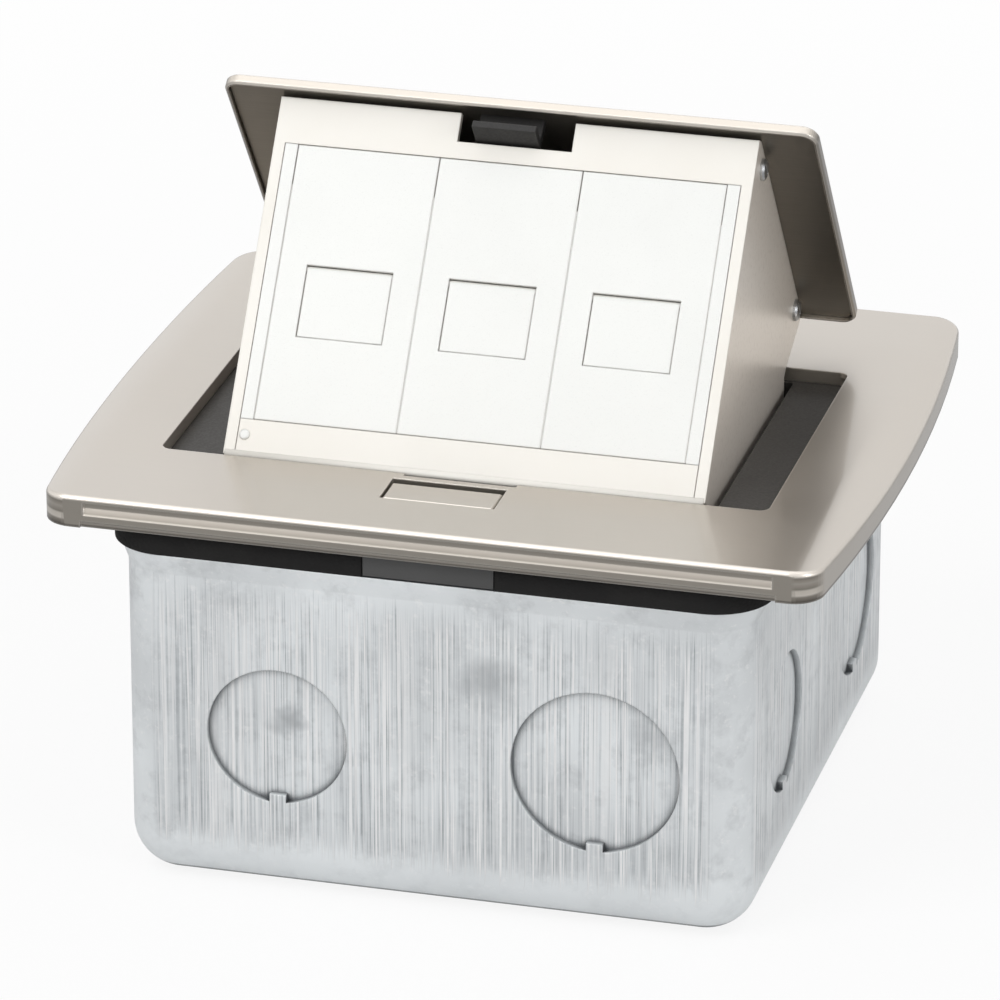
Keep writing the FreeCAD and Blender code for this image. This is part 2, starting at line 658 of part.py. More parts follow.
parts["torsion_spring_right"] = torsion_spring(1)
parts["torsion_spring_left"] = torsion_spring(-1)

pad = block(CRADLE_HALF_W - SHEET - 0.6, CRADLE_HALF_W + SIDE_GAP, PIVOT_Y - PAD_DISTANCE - PAD_L,
            PIVOT_Y - PAD_DISTANCE, RIM_LOW - PAD_T, RIM_LOW)
parts["stop_pads"] = Part.makeCompound([pad, mirror_x(pad)])

# ---------------------------------------------------------------------------
# latch: housing (fixed), button, slide and tongue (moving)
# ---------------------------------------------------------------------------
HOUSING_LOW = -8.8
hx0 = bay_x0 + 0.1
hx1 = bay_x1 - 0.1
hy0 = -FRAME_HALF_D + 1.6
hy1 = WELL_FRONT - WELL_WALL - 0.2
housing = block(hx0, hx1, hy0, hy1, HOUSING_LOW, UNDER)
housing = housing.cut(block(hx0 + 1.2, hx1 - 1.2, hy0 + 1.2, hy1 + 1, HOUSING_LOW + 1.2, UNDER + 1))
housing = housing.fuse(block(LATCH_X - 3, LATCH_X + 3, hy0 + 1, hy1 - 1.5, HOUSING_LOW + 1,
                             TONGUE_TOP - TONGUE_T - 0.1))
housing = housing.fuse(block(GATE_X0 + 0.2, GATE_X1 - 0.2, cy0 + 0.15, hy0 + 0.5, HOUSING_LOW, RIM_LOW - 0.02))
parts["latch_housing"] = housing.removeSplitter()

button = block(LATCH_X - BUTTON_HALF_W, LATCH_X + BUTTON_HALF_W, BUTTON_FRONT, BUTTON_REAR,
               UNDER - 0.25, -0.08)
button = button.makeChamfer(0.3, edges_where(button, lambda m, e: abs(m.z + 0.08) < 1e-6))
parts["latch_button"] = button

carriage = block(hx0 + 1.2 + LATCH_GAP, hx1 - 1.2 - LATCH_GAP, BUTTON_FRONT - 3.0, BUTTON_REAR + 1.0,
                 TONGUE_TOP, UNDER - 0.25)
parts["latch_slide"] = carriage

tongue = block(LATCH_X - TONGUE_HALF_W, LATCH_X + TONGUE_HALF_W, BUTTON_FRONT - 1.0, TONGUE_TIP,
               TONGUE_TOP - TONGUE_T, TONGUE_TOP)
tip = edges_where(tongue, lambda m, e: abs(m.y - TONGUE_TIP) < 1e-6 and abs(m.z - TONGUE_TOP) < 1e-6)
tongue = tongue.makeChamfer(0.6, tip)
parts["latch_tongue"] = tongue

# ---------------------------------------------------------------------------
# lid (made closed, then swung open about the pivot)
# ---------------------------------------------------------------------------
lid = slab(-LID_HALF_W, LID_HALF_W, LID_FRONT, LID_REAR, -LID_RIM, 0, LID_R)
lid = lid.makeChamfer(LID_EDGE, edges_where(lid, lambda m, e: abs(m.z) < 1e-6))
lid = lid.makeChamfer(LID_EDGE, edges_where(
    lid, lambda m, e: abs(m.z + LID_RIM) < 1e-6 and m.y > LID_REAR - LID_R))
lid = lid.cut(slab(-LID_HALF_W + LID_T, LID_HALF_W - LID_T, LID_FRONT + LID_T, LID_REAR - LID_T,
                   -LID_RIM - 1, -LID_T, LID_R - LID_T))
parts["lid_shell"] = in_lid(lid)

inset = LID_T + STIFF_GAP
stiff = slab(-LID_HALF_W + inset, LID_HALF_W - inset, LID_FRONT + inset, LID_REAR - inset,
             LID_UNDER, -LID_T, LID_R - inset)
parts["lid_stiffener"] = in_lid(stiff)

lid_lugs = []
cradle_screws = []
for sx in (-1, 1):
    for s in (LID_SCREW_FRONT, LID_LEN - LID_SCREW_REAR):
        y = LID_FRONT + s
        inner = CRADLE_HALF_W - SHEET
        lug = block(inner - 1.6, inner, y - 2.6, y + 2.6, -SCREW_DEPTH - 1.9, LID_UNDER)
        foot = block(inner - 6.5, inner - 1.6, y - 2.6, y + 2.6, LID_UNDER - 0.9, LID_UNDER)
        lug = fuse(lug, foot)
        lug = lug.cut(rod(SCREW_R, V(inner - 7, y, -SCREW_DEPTH), V(1, 0, 0), 8))
        shank = rod(SCREW_R, V(inner - 2.6, y, -SCREW_DEPTH), V(1, 0, 0), SHEET + 2.6)
        head = rod(SCREW_HEAD_R, V(CRADLE_HALF_W, y, -SCREW_DEPTH), V(1, 0, 0), SCREW_HEAD_H)
        head = head.makeChamfer(0.3, edges_where(
            head, lambda m, e: abs(m.x - CRADLE_HALF_W - SCREW_HEAD_H) < 1e-6))
        bolt = fuse(shank, head)
        bolt = bolt.cut(block(CRADLE_HALF_W + 0.35, CRADLE_HALF_W + 2, y - 1.2, y + 1.2,
                              -SCREW_DEPTH - 0.22, -SCREW_DEPTH + 0.22))
        if sx < 0:
            lug = mirror_x(lug)
            bolt = mirror_x(bolt)
        lid_lugs.append(in_lid(lug))
        cradle_screws.append(in_lid(bolt))
parts["lid_lugs"] = Part.makeCompound(lid_lugs)
parts["cradle_screws"] = Part.makeCompound(cradle_screws)

foot_top = TONGUE_TOP - TONGUE_T - 0.2
foot_low = foot_top - CATCH_T
catch_left = LATCH_X - CATCH_HALF_W
catch_right = LATCH_X + CATCH_HALF_W
catch_back = LID_FRONT + 4.8
catch = fuse(block(catch_left, catch_right, LID_FRONT + 3.6, catch_back, foot_low, LID_UNDER),
             block(catch_left, catch_right, LID_FRONT, catch_back, foot_low, foot_top))
parts["lid_catch"] = in_lid(catch)

# ---------------------------------------------------------------------------
# cradle: two side plates with gooseneck arms and a top border, one folding
# ---------------------------------------------------------------------------
inner = CRADLE_HALF_W - SHEET
top_front = face_point(FACE_LEN, 0)
outline = [
    face_point(0, 0),
    top_front,
    lid_point(4.0, 0.03 - LID_UNDER),
    lid_point(LID_LEN - 2.0, 0.03 - LID_UNDER),
    (PIVOT_Y - 2.2, 4.9),
    (WELL_REAR - 1.2, 0.35),
    (WELL_REAR - 2.1, -0.6),
    (WELL_REAR - 2.1, -4.4),
    (WELL_REAR - 1.7, -5.3),
    (WELL_REAR - 0.6, PIVOT_Z + ARM_R),
    (PIVOT_Y, PIVOT_Z + ARM_R),
    (PIVOT_Y, PIVOT_Z - ARM_R),
    (WELL_REAR - 2.4, -15.5),
    face_point(0, CRADLE_DEPTH),
]
side = yz_prism(outline, inner, CRADLE_HALF_W)
side = fuse(side, rod(ARM_R, V(inner, PIVOT_Y, PIVOT_Z), V(1, 0, 0), SHEET))
side = side.cut(rod(PIN_R + PIN_CLEARANCE, V(inner - 1, PIVOT_Y, PIVOT_Z), V(1, 0, 0), SHEET + 2))
for s in (LID_SCREW_FRONT, LID_LEN - LID_SCREW_REAR):
    y, z = lid_point(s, SCREW_DEPTH)
    side = side.cut(rod(SCREW_R, V(inner - 1, y, z), V(1, 0, 0), SHEET + 2))
border = block(-inner - 0.5, inner + 0.5, 0, BORDER_T, BORDER_HIGH, FACE_LEN)
border = border.cut(block(-NOTCH_HALF_W, NOTCH_HALF_W, -1, BORDER_T + 1, NOTCH_FLOOR, FACE_LEN + 1))
cradle = fuse(side, mirror_x(side), in_face(border))
parts["cradle"] = cradle

# lower border: a folded panel between the side plates, with a shelf behind
half = inner - PANEL_GAP
panel = block(-half, half, 0, BORDER_T, PANEL_FOOT, BORDER_LOW)
shelf = block(-half, half, 0, PANEL_SHELF, PANEL_FOOT, PANEL_FOOT + BORDER_T)
panel = fuse(panel, shelf)
panel = panel.makeFillet(PANEL_R, edges_where(
    panel, lambda m, e: abs(m.y) < 1e-6 and abs(m.z - PANEL_FOOT) < 1e-6))
parts["lower_panel"] = in_face(panel)

dot = rod(RIVET_R, V(RIVET_IN - inner, BORDER_T, RIVET_RISE), V(0, -1, 0), BORDER_T + 0.3)
dot = dot.makeChamfer(0.2, edges_where(dot, lambda m, e: abs(m.y + 0.3) < 1e-6))
parts["panel_rivet"] = in_face(dot)
parts["lower_panel"] = parts["lower_panel"].cut(
    in_face(rod(RIVET_R, V(RIVET_IN - inner, BORDER_T + 1, RIVET_RISE), V(0, -1, 0), BORDER_T + 2)))

# ---------------------------------------------------------------------------
# modules: carrier frame, then face plate, flap, jack body, contacts, terminals
# ---------------------------------------------------------------------------
row = ROW_HALF_W
low = BORDER_LOW + 0.05
high = BORDER_HIGH - 0.05
holder = block(-half, half, 0, 9.0, low, high)
holder = holder.cut(block(-row - 0.05, row + 0.05, -1, 10, low - 1, high + 1))
rail_d = MODULE_FACE_T + 0.1
rails = [block(-half, half, rail_d, 9.0, low, low + 1.6),
         block(-half, half, rail_d, 9.0, high - 1.6, high)]
parts["module_holder"] = in_face(fuse(holder, rails[0], rails[1]))

FLAP_AXIS_D = FLAP_SINK + FLAP_T / 2
FLAP_AXIS_V = WIN_HIGH - FLAP_T / 2 - 0.1
flap_half = WIN_HALF_W - FLAP_GAP
for name, cx in (("left", -MODULE_PITCH), ("centre", 0.0), ("right", MODULE_PITCH)):
    hw = (MODULE_PITCH - MODULE_GAP) / 2
    plate_i = block(cx - hw, cx + hw, 0, MODULE_FACE_T, low + 0.05, high - 0.05)
    plate_i = plate_i.makeFillet(MODULE_EDGE, edges_where(plate_i, lambda m, e: abs(m.y) < 1e-6))
    plate_i = plate_i.cut(block(cx - WIN_HALF_W, cx + WIN_HALF_W, -1, 5, WIN_LOW, WIN_HIGH))
    reach = flap_half + FLAP_PIN_OUT
    bore = rod(FLAP_PIN_R + FLAP_PIN_CLEARANCE, V(cx - reach - 0.1, FLAP_AXIS_D, FLAP_AXIS_V),
               V(1, 0, 0), 2 * reach + 0.2)
    plate_i = plate_i.cut(bore)
    parts["faceplate_" + name] = in_face(plate_i)

    flap = block(cx - flap_half, cx + flap_half, FLAP_SINK, FLAP_SINK + FLAP_T,
                 WIN_LOW + FLAP_GAP, FLAP_AXIS_V)
    knuckle = rod(FLAP_T / 2, V(cx - flap_half, FLAP_AXIS_D, FLAP_AXIS_V), V(1, 0, 0), 2 * flap_half)
    axle = rod(FLAP_PIN_R, V(cx - reach, FLAP_AXIS_D, FLAP_AXIS_V), V(1, 0, 0), 2 * reach)
    parts["flap_" + name] = in_face(fuse(flap, knuckle, axle))

    jack_half = MODULE_PITCH / 2 - JACK_SIDE_GAP
    back = MODULE_FACE_T + JACK_DEPTH
    body = block(cx - jack_half, cx + jack_half, MODULE_FACE_T, back, low + JACK_END_GAP,
                 high - JACK_END_GAP)
    port_half = WIN_HALF_W + CHAMBER_SIDE
    floor_v = WIN_LOW - CHAMBER_BELOW
    chamber = block(cx - port_half, cx + port_half, 0, MODULE_FACE_T + CHAMBER_DEPTH, floor_v,
                    WIN_HIGH + CHAMBER_ABOVE)
    body = body.cut(chamber)
    # weight-saving hollow above the jack, open to the rear
    body = body.cut(block(cx - jack_half + HOLLOW_WALL, cx + jack_half - HOLLOW_WALL,
                          MODULE_FACE_T + HOLLOW_WALL, back + 1,
                          WIN_HIGH + CHAMBER_ABOVE + 2.2, high - JACK_END_GAP - 1.75))
    parts["jack_body_" + name] = in_face(body)

    wires = []
    for i in range(CONTACTS):
        x = cx + (i - (CONTACTS - 1) / 2) * CONTACT_PITCH
        wires.append(block(x - CONTACT_HALF_W, x + CONTACT_HALF_W, CONTACT_START,
                           MODULE_FACE_T + CHAMBER_DEPTH, floor_v, floor_v + CONTACT_T))
    parts["contacts_" + name] = Part.makeCompound([in_face(w) for w in wires])

    term = block(cx - TERM_HALF_W, cx + TERM_HALF_W, back, back + TERM_DEPTH, TERM_LOW,
                 TERM_LOW + TERM_H)
    # two rows of slots that grip the wires
    for i in range(TERM_SLOTS):
        v = TERM_LOW + TERM_H / 2 + (i - (TERM_SLOTS - 1) / 2) * TERM_SLOT_PITCH
        for x0 in (cx - TERM_HALF_W - 1, cx + TERM_HALF_W / 2):
            term = term.cut(block(x0, x0 + TERM_HALF_W / 2 + 1, back + TERM_DEPTH - TERM_SLOT_DEEP,
                                  back + TERM_DEPTH + 1, v - TERM_SLOT_T / 2, v + TERM_SLOT_T / 2))
    parts["terminals_" + name] = in_face(term)

# ---------------------------------------------------------------------------
# export in the row frame: origin at the middle of the box base
# ---------------------------------------------------------------------------
for name, shape in parts.items():
    placed = shape.copy()
    placed.translate(V(0, -BOX_SHIFT, PLATE_TOP))
    placed.exportStep("parts/%s.step" % name)
    print(name, len(placed.Solids), round(placed.Volume, 1), placed.isValid())
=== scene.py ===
"""Dresses a floor socket box: finishes, fine pieces, floor, lights and camera.

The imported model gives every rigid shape.  Each sub-assembly below is a class
that dresses its own nodes and adds the fine pieces that a maker would draw
after the main construction.  All lengths are in metres unless a name says mm.
"""

import json
import logging
import math
from dataclasses import dataclass, field
from enum import Enum
from typing import Any, Optional, Sequence

import bpy
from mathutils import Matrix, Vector

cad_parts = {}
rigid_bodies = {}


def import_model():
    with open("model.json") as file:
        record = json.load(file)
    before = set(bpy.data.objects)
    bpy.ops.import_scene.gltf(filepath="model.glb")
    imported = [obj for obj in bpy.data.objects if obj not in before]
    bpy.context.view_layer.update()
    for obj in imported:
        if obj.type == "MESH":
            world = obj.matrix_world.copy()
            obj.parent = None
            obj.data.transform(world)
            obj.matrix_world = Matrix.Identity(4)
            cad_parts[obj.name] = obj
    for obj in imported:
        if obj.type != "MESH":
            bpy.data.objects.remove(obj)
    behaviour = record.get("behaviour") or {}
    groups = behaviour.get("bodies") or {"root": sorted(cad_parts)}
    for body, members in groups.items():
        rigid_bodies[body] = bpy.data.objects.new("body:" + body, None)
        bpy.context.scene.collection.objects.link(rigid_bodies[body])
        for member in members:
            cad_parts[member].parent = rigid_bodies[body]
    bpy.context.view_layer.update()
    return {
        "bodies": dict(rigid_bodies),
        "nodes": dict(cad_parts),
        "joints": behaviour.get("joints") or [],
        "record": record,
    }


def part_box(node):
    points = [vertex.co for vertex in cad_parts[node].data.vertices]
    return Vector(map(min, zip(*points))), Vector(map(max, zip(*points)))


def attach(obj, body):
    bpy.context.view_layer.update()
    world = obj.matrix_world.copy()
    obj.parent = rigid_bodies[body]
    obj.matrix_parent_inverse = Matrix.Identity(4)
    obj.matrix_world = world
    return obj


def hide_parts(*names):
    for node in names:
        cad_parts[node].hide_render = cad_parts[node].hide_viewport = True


MM = 0.001
SIDES = ("left", "centre", "right")
LOG = logging.getLogger("floor_box")


# --------------------------------------------------------------------------
# small helpers
# --------------------------------------------------------------------------
def linear(hex_colour: str, alpha: float = 1.0) -> tuple[float, float, float, float]:
    """Turn an sRGB hex colour into linear values.

    Args:
        hex_colour: Colour such as "#c8c2ba".
        alpha: Opacity.

    Returns:
        Linear red, green, blue and alpha.
    """
    digits = hex_colour.lstrip("#")
    out = []
    for i in (0, 2, 4):
        c = int(digits[i:i + 2], 16) / 255
        out.append(c / 12.92 if c <= 0.04045 else ((c + 0.055) / 1.055) ** 2.4)
    return out[0], out[1], out[2], alpha


def per_mm(size_mm: float) -> float:
    """Texture scale that gives one feature per size_mm.

    Args:
        size_mm: Size of one feature on the real surface.

    Returns:
        Scale for a texture whose coordinates are in metres.
    """
    return 1.0 / (size_mm * MM)


def wire_mesh(name: str, path: Sequence[Vector], radius: float, sides: int = 12) -> bpy.types.Mesh:
    """Sweep a round wire along a path, with closed ends.

    Args:
        name: Name of the mesh.
        path: Points along the middle of the wire.
        radius: Radius of the wire.
        sides: Sides of its section.

    Returns:
        The mesh, shaded smooth.
    """
    verts: list[Vector] = []
    faces: list[tuple[int, ...]] = []
    across = (path[1] - path[0]).orthogonal()
    last = len(path) - 1
    for i, point in enumerate(path):
        ahead = (path[min(i + 1, last)] - path[max(i - 1, 0)]).normalized()
        across = (across - ahead * across.dot(ahead)).normalized()
        other = ahead.cross(across)
        for k in range(sides):
            turn = math.tau * k / sides
            verts.append(point + (across * math.cos(turn) + other * math.sin(turn)) * radius)
    for i in range(last):
        for k in range(sides):
            j, n = i * sides, (k + 1) % sides
            faces.append((j + k, j + n, j + sides + n, j + sides + k))
    faces.append(tuple(reversed(range(sides))))
    faces.append(tuple(range(last * sides, len(verts))))
    mesh = bpy.data.meshes.new(name)
    mesh.from_pydata(verts, [], faces)
    mesh.polygons.foreach_set("use_smooth", [len(f) == 4 for f in faces])
    return mesh


def bend(corners: Sequence[Vector], radius: float, steps: int = 6) -> list[Vector]:
    """Round the corners of a bent wire.

    Args:
        corners: Corner points of the wire's middle line.
        radius: How far before and after a corner the bend reaches.
        steps: Points in one bend.

    Returns:
        Points of the rounded line.
    """
    out = [corners[0]]
    for before, corner, after in zip(corners, corners[1:], corners[2:]):
        start = corner + (before - corner).normalized() * radius
        end = corner + (after - corner).normalized() * radius
        for i in range(steps + 1):
            t = i / steps
            out.append(start * (1 - t) ** 2 + corner * (2 * t * (1 - t)) + end * t ** 2)
    out.append(corners[-1])
    return out


def joined(name: str, meshes: Sequence[bpy.types.Mesh]) -> bpy.types.Mesh:
    """Join meshes into one.

    Args:
        name: Name of the new mesh.
        meshes: Meshes to join.

    Returns:
        The joined mesh.
    """
    verts: list[Vector] = []
    faces: list[tuple[int, ...]] = []
    smooth: list[bool] = []
    for part in meshes:
        base = len(verts)
        verts.extend(v.co.copy() for v in part.vertices)
        for poly in part.polygons:
            faces.append(tuple(base + i for i in poly.vertices))
            smooth.append(poly.use_smooth)
        bpy.data.meshes.remove(part)
    mesh = bpy.data.meshes.new(name)
    mesh.from_pydata(verts, [], faces)
    mesh.polygons.foreach_set("use_smooth", smooth)
    return mesh


@dataclass
class NodeTree:
    """A material's node tree, with one short way to add to it."""

    tree: bpy.types.NodeTree

    def add(self, kind: str, inputs: Optional[dict[Any, Any]] = None, **settings: Any) -> bpy.types.Node:
        """Add a node, set its values and link what is given as a socket.

        Args:
            kind: Node type, such as "ShaderNodeTexNoise".
            inputs: Input name or index to a value or an output socket.
            **settings: Properties of the node itself.

        Returns:
            The new node.
        """
        node = self.tree.nodes.new(kind)
        for name, value in settings.items():
            setattr(node, name, value)
        for key, value in (inputs or {}).items():
            socket = node.inputs[key]
            if isinstance(value, bpy.types.NodeSocket):
                self.tree.links.new(value, socket)
            else:
                socket.default_value = value
        return node

    def facing(self) -> bpy.types.Node:
        """Split the way a face looks, before any rounding, into X, Y and Z.

        Returns:
            The node that holds them.
        """
        return self.add("ShaderNodeSeparateXYZ",
                        {0: self.add("ShaderNodeNewGeometry").outputs["True Normal"]})

    def math(self, operation: str, first: Any, second: Any = None, clamp: bool = False) -> Any:
        """Add a math node.

        Args:
            operation: Operation, such as "MULTIPLY".
            first: First value or socket.
            second: Second value or socket, or None.
            clamp: Whether the result is kept from 0 to 1.

        Returns:
            Result socket.
        """
        inputs = {0: first} if second is None else {0: first, 1: second}
        return self.add("ShaderNodeMath", inputs, operation=operation, use_clamp=clamp).outputs[0]


class Axis(Enum):
    """Direction in which a grain, brush line or streak runs."""

    X = (1.0, 0.0, 0.0)
    Y = (0.0, 1.0, 0.0)
    Z = (0.0, 0.0, 1.0)


# --------------------------------------------------------------------------
# finishes
# --------------------------------------------------------------------------
@dataclass(frozen=True)
class Finish:
    """Values that every finish shares."""

    name: str
    colour: str
    roughness: float
    metallic: float = 0.0
    bevel_mm: float = 0.25

    def start(self) -> tuple[bpy.types.Material, NodeTree, Any]:
        """Make an empty material with object coordinates.

        Returns:
            Material, node tree and the coordinate socket.
        """
        material = bpy.data.materials.new(self.name)
        material.use_nodes = True
        material.node_tree.nodes.clear()
        nt = NodeTree(material.node_tree)
        place = nt.add("ShaderNodeTexCoord").outputs["Object"]
        return material, nt, place

    def edge_mask(self, nt: NodeTree, radius_mm: float, gain: float) -> Any:
        """Mask that is white on worn edges.

        Args:
            nt: Node tree to add to.
            radius_mm: Reach of the wear from the edge.
            gain: How sharply the mask turns on.

        Returns:
            Output socket, 0 on flats and 1 on edges.
        """
        soft = nt.add("ShaderNodeBevel", {"Radius": radius_mm * MM}, samples=4)
        true = nt.add("ShaderNodeNewGeometry")
        dot = nt.add("ShaderNodeVectorMath",
                     {0: soft.outputs["Normal"], 1: true.outputs["Normal"]}, operation="DOT_PRODUCT")
        lost = nt.math("SUBTRACT", 1.0, dot.outputs["Value"])
        return nt.math("MULTIPLY", lost, gain, clamp=True)

    def close(self, nt: NodeTree, colour: Any, roughness: Any, height: Any = None,
              strength: float = 0.2, relief_mm: float = 0.1, **extra: Any) -> None:
        """End the tree in one shader with rounded edges and relief.

        Args:
            nt: Node tree to add to.
            colour: Colour value or socket.
            roughness: Roughness value or socket.
            height: Height socket for the relief, or None.
            strength: Strength of the relief.
            relief_mm: Height of the relief.
            **extra: More inputs of the shader, with _ for a space.
        """
        normal = nt.add("ShaderNodeBevel", {"Radius": self.bevel_mm * MM}, samples=4).outputs["Normal"]
        if height is not None:
            normal = nt.add("ShaderNodeBump", {"Strength": strength, "Distance": relief_mm * MM,
                                               "Height": height, "Normal": normal}).outputs["Normal"]
        inputs = {"Base Color": colour, "Roughness": roughness, "Metallic": self.metallic,
                  "Normal": normal}
        for key, value in extra.items():
            inputs[key.replace("_", " ")] = value
        shader = nt.add("ShaderNodeBsdfPrincipled", inputs)
        nt.add("ShaderNodeOutputMaterial", {"Surface": shader.outputs[0]})

    def shadow(self, nt: NodeTree, reach_mm: float, strength: float = 0.8) -> Any:
        """Mask for painted shade in narrow gaps and inner corners, taken from ambient occlusion.

        Args:
            nt: Node tree to add to.
            reach_mm: How near another wall has to be.
            strength: Mask in the deepest place.

        Returns:
            Mask socket.
        """
        hidden = nt.add("ShaderNodeAmbientOcclusion", {"Distance": reach_mm * MM}, samples=8)
        return self.ramp(nt, hidden.outputs["AO"], 0.45, 0.85, strength, 0.0)

    def noise(self, nt: NodeTree, place: Any, size_mm: float, detail: float = 3.0,
              rough: float = 0.5) -> Any:
        """Noise with features of a real size.

        Args:
            nt: Node tree to add to.
            place: Coordinate socket.
            size_mm: Size of one feature.
            detail: Octaves.
            rough: Weight of the fine octaves.

        Returns:
            Noise value socket, about 0.3 to 0.7.
        """
        return nt.add("ShaderNodeTexNoise", {"Vector": place, "Scale": per_mm(size_mm),
                                             "Detail": detail, "Roughness": rough}).outputs[0]

    def stretch(self, nt: NodeTree, place: Any, axis: Axis, ratio: float) -> Any:
        """Coordinates squeezed along one axis, so that noise runs in lines.

        Args:
            nt: Node tree to add to.
            place: Coordinate socket.
            axis: Direction in which the lines run.
            ratio: Length of a line over its width.

        Returns:
            New coordinate socket.
        """
        scale = tuple(1.0 / ratio if a else 1.0 for a in axis.value)
        return nt.add("ShaderNodeMapping", {"Vector": place, "Scale": scale}).outputs[0]

    def ramp(self, nt: NodeTree, value: Any, low: float, high: float, out_low: float = 0.0,
             out_high: float = 1.0) -> Any:
        """Map a value's range to another.

        Args:
            nt: Node tree to add to.
            value: Input socket.
            low: Value that gives out_low.
            high: Value that gives out_high.
            out_low: Lowest output.
            out_high: Highest output.

        Returns:
            Output socket.
        """
        return nt.add("ShaderNodeMapRange", {"Value": value, "From Min": low, "From Max": high,
                                             "To Min": out_low, "To Max": out_high}).outputs[0]

    def mix(self, nt: NodeTree, factor: Any, first: Any, second: Any) -> Any:
        """Blend two colours.

        Args:
            nt: Node tree to add to.
            factor: Share of the second colour.
            first: Hex colour or socket.
            second: Hex colour or socket.

        Returns:
            Colour socket.
        """
        node = nt.add("ShaderNodeMix", data_type="RGBA")
        for index, value in ((0, factor), (6, first), (7, second)):
            if isinstance(value, str):
                value = linear(value)
            if isinstance(value, bpy.types.NodeSocket):
                nt.tree.links.new(value, node.inputs[index])
            else:
                node.inputs[index].default_value = value
        return node.outputs[2]


@dataclass(frozen=True)
class GalvanisedSheet(Finish):
    """Hot-dip galvanised steel, deep drawn: drawing scores run up the walls.

    The die drags the zinc on the flat walls into fine upright lines, some
    burnished white and some scored grey.  The rounded corners and the band
    round the base, which the die doesn't rub, stay smooth, with matt
    blotches where the zinc has bloomed.  The base round is painted pale as a
    painted highlight, and a line of painted shade runs along the foot of the
    rubbed band.
    """

    name: str = "galvanised steel, deep drawn"
    colour: str = "#f1f5f7"
    roughness: float = 0.4
    metallic: float = 0.35
    bevel_mm: float = 0.35
    score: str = "#888e94"
    burnish: str = "#fdfdfd"
    bloom: str = "#c2c5c7"
    # painted shade laid in gaps, recesses and inner corners, such as round the knockouts
    crevice_shade: str = "#4a4e52"
    # matt zinc tone, also used for the painted shade line along the rubbed band's foot
    dull_and_shade: str = "#a6aaad"
    score_mm: float = 0.3
    bloom_mm: float = 7.0
    band_low_mm: float = 7.5
    band_high_mm: float = 51.0
    ragged_mm: float = 3.0
    fade_mm: float = 3.0
    line_ratio: float = 150.0
    # dull marks of the draw: place in mm, radius and strength
    marks: tuple[tuple[tuple[float, float, float], float, float], ...] = (
        ((-22.2, -51.0, 29.4), 3.1, 0.95), ((8.8, -51.0, 39.2), 4.2, 0.55),
        ((34.0, -51.0, 33.0), 3.2, 0.4))

    def mark(self, nt: NodeTree, place: Any, centre_mm: Sequence[float], radius_mm: float,
             strength: float) -> Any:
        """Mask of one dull mark with a ragged edge.

        Args:
            nt: Node tree to add to.
            place: Object coordinates.
            centre_mm: Middle of the mark.
            radius_mm: Radius of the mark.
            strength: Mask in its middle.

        Returns:
            Mask socket.
        """
        centre = tuple(c * MM for c in centre_mm)
        away = nt.add("ShaderNodeVectorMath", {0: place, 1: centre}, operation="DISTANCE")
        rough = self.ramp(nt, self.noise(nt, place, radius_mm * 1.2, 2.0, 0.5), 0.3, 0.7,
                          -0.35 * radius_mm * MM, 0.35 * radius_mm * MM)
        edge = nt.math("ADD", away.outputs["Value"], rough)
        return self.ramp(nt, edge, radius_mm * MM * 1.3, radius_mm * MM * 0.4, 0.0,
                         strength)

    def wall_place(self, nt: NodeTree, place: Any) -> tuple[Any, Any]:
        """Coordinates that run along the walls and up them.

        Args:
            nt: Node tree to add to.
            place: Object coordinates.

        Returns:
            Coordinates squeezed into upright lines, and the height socket.
        """
        xyz = nt.add("ShaderNodeSeparateXYZ", {0: place})
        around = nt.math("ADD", xyz.outputs["X"], xyz.outputs["Y"])
        wall = nt.add("ShaderNodeCombineXYZ", {"X": around, "Z": xyz.outputs["Z"]})
        return self.stretch(nt, wall.outputs[0], Axis.Z, self.line_ratio), xyz.outputs["Z"]

    def flat_wall(self, nt: NodeTree) -> Any:
        """Mask that is 1 on flat upright walls and 0 on rounds and on the base.

        Args:
            nt: Node tree to add to.

        Returns:
            Mask socket.
        """
        normal = nt.add("ShaderNodeNewGeometry").outputs["Normal"]
        facing = nt.add("ShaderNodeVectorMath", {0: normal}, operation="ABSOLUTE").outputs[0]
        xyz = nt.add("ShaderNodeSeparateXYZ", {0: facing})
        most = nt.math("MAXIMUM", xyz.outputs["X"], xyz.outputs["Y"])
        return self.ramp(nt, most, 0.93, 0.995)

    def build(self) -> bpy.types.Material:
        """Build the material.

        Returns:
            The material.
        """
        m, nt, place = self.start()
        lines, height = self.wall_place(nt, place)
        dark = self.noise(nt, lines, self.score_mm, 3.0, 0.7)
        bright = nt.add("ShaderNodeTexNoise", {"Vector": lines, "Scale": per_mm(self.score_mm * 1.3),
                                               "Detail": 2.0, "Roughness": 0.6, "Lacunarity": 2.7}).outputs[0]
        broad = self.noise(nt, lines, self.score_mm * 14, 2.0, 0.5)
        blotch = self.noise(nt, place, self.bloom_mm, 5.0, 0.6)
        haze = self.noise(nt, place, self.bloom_mm * 3.5, 2.0, 0.5)
        speck = self.noise(nt, place, 1.1, 3.0, 0.6)
        # the rubbed band starts and stops raggedly
        shift = self.ramp(nt, bright, 0.3, 0.7, -self.ragged_mm * MM, self.ragged_mm * MM)
        level = nt.math("ADD", height, shift)
        above = self.ramp(nt, level, self.band_low_mm * MM, (self.band_low_mm + self.fade_mm) * MM)
        below = self.ramp(nt, level, self.band_high_mm * MM, (self.band_high_mm - self.fade_mm) * MM)
        band = nt.math("MULTIPLY", above, below, clamp=True)
        band = nt.math("MULTIPLY", band, self.flat_wall(nt), clamp=True)
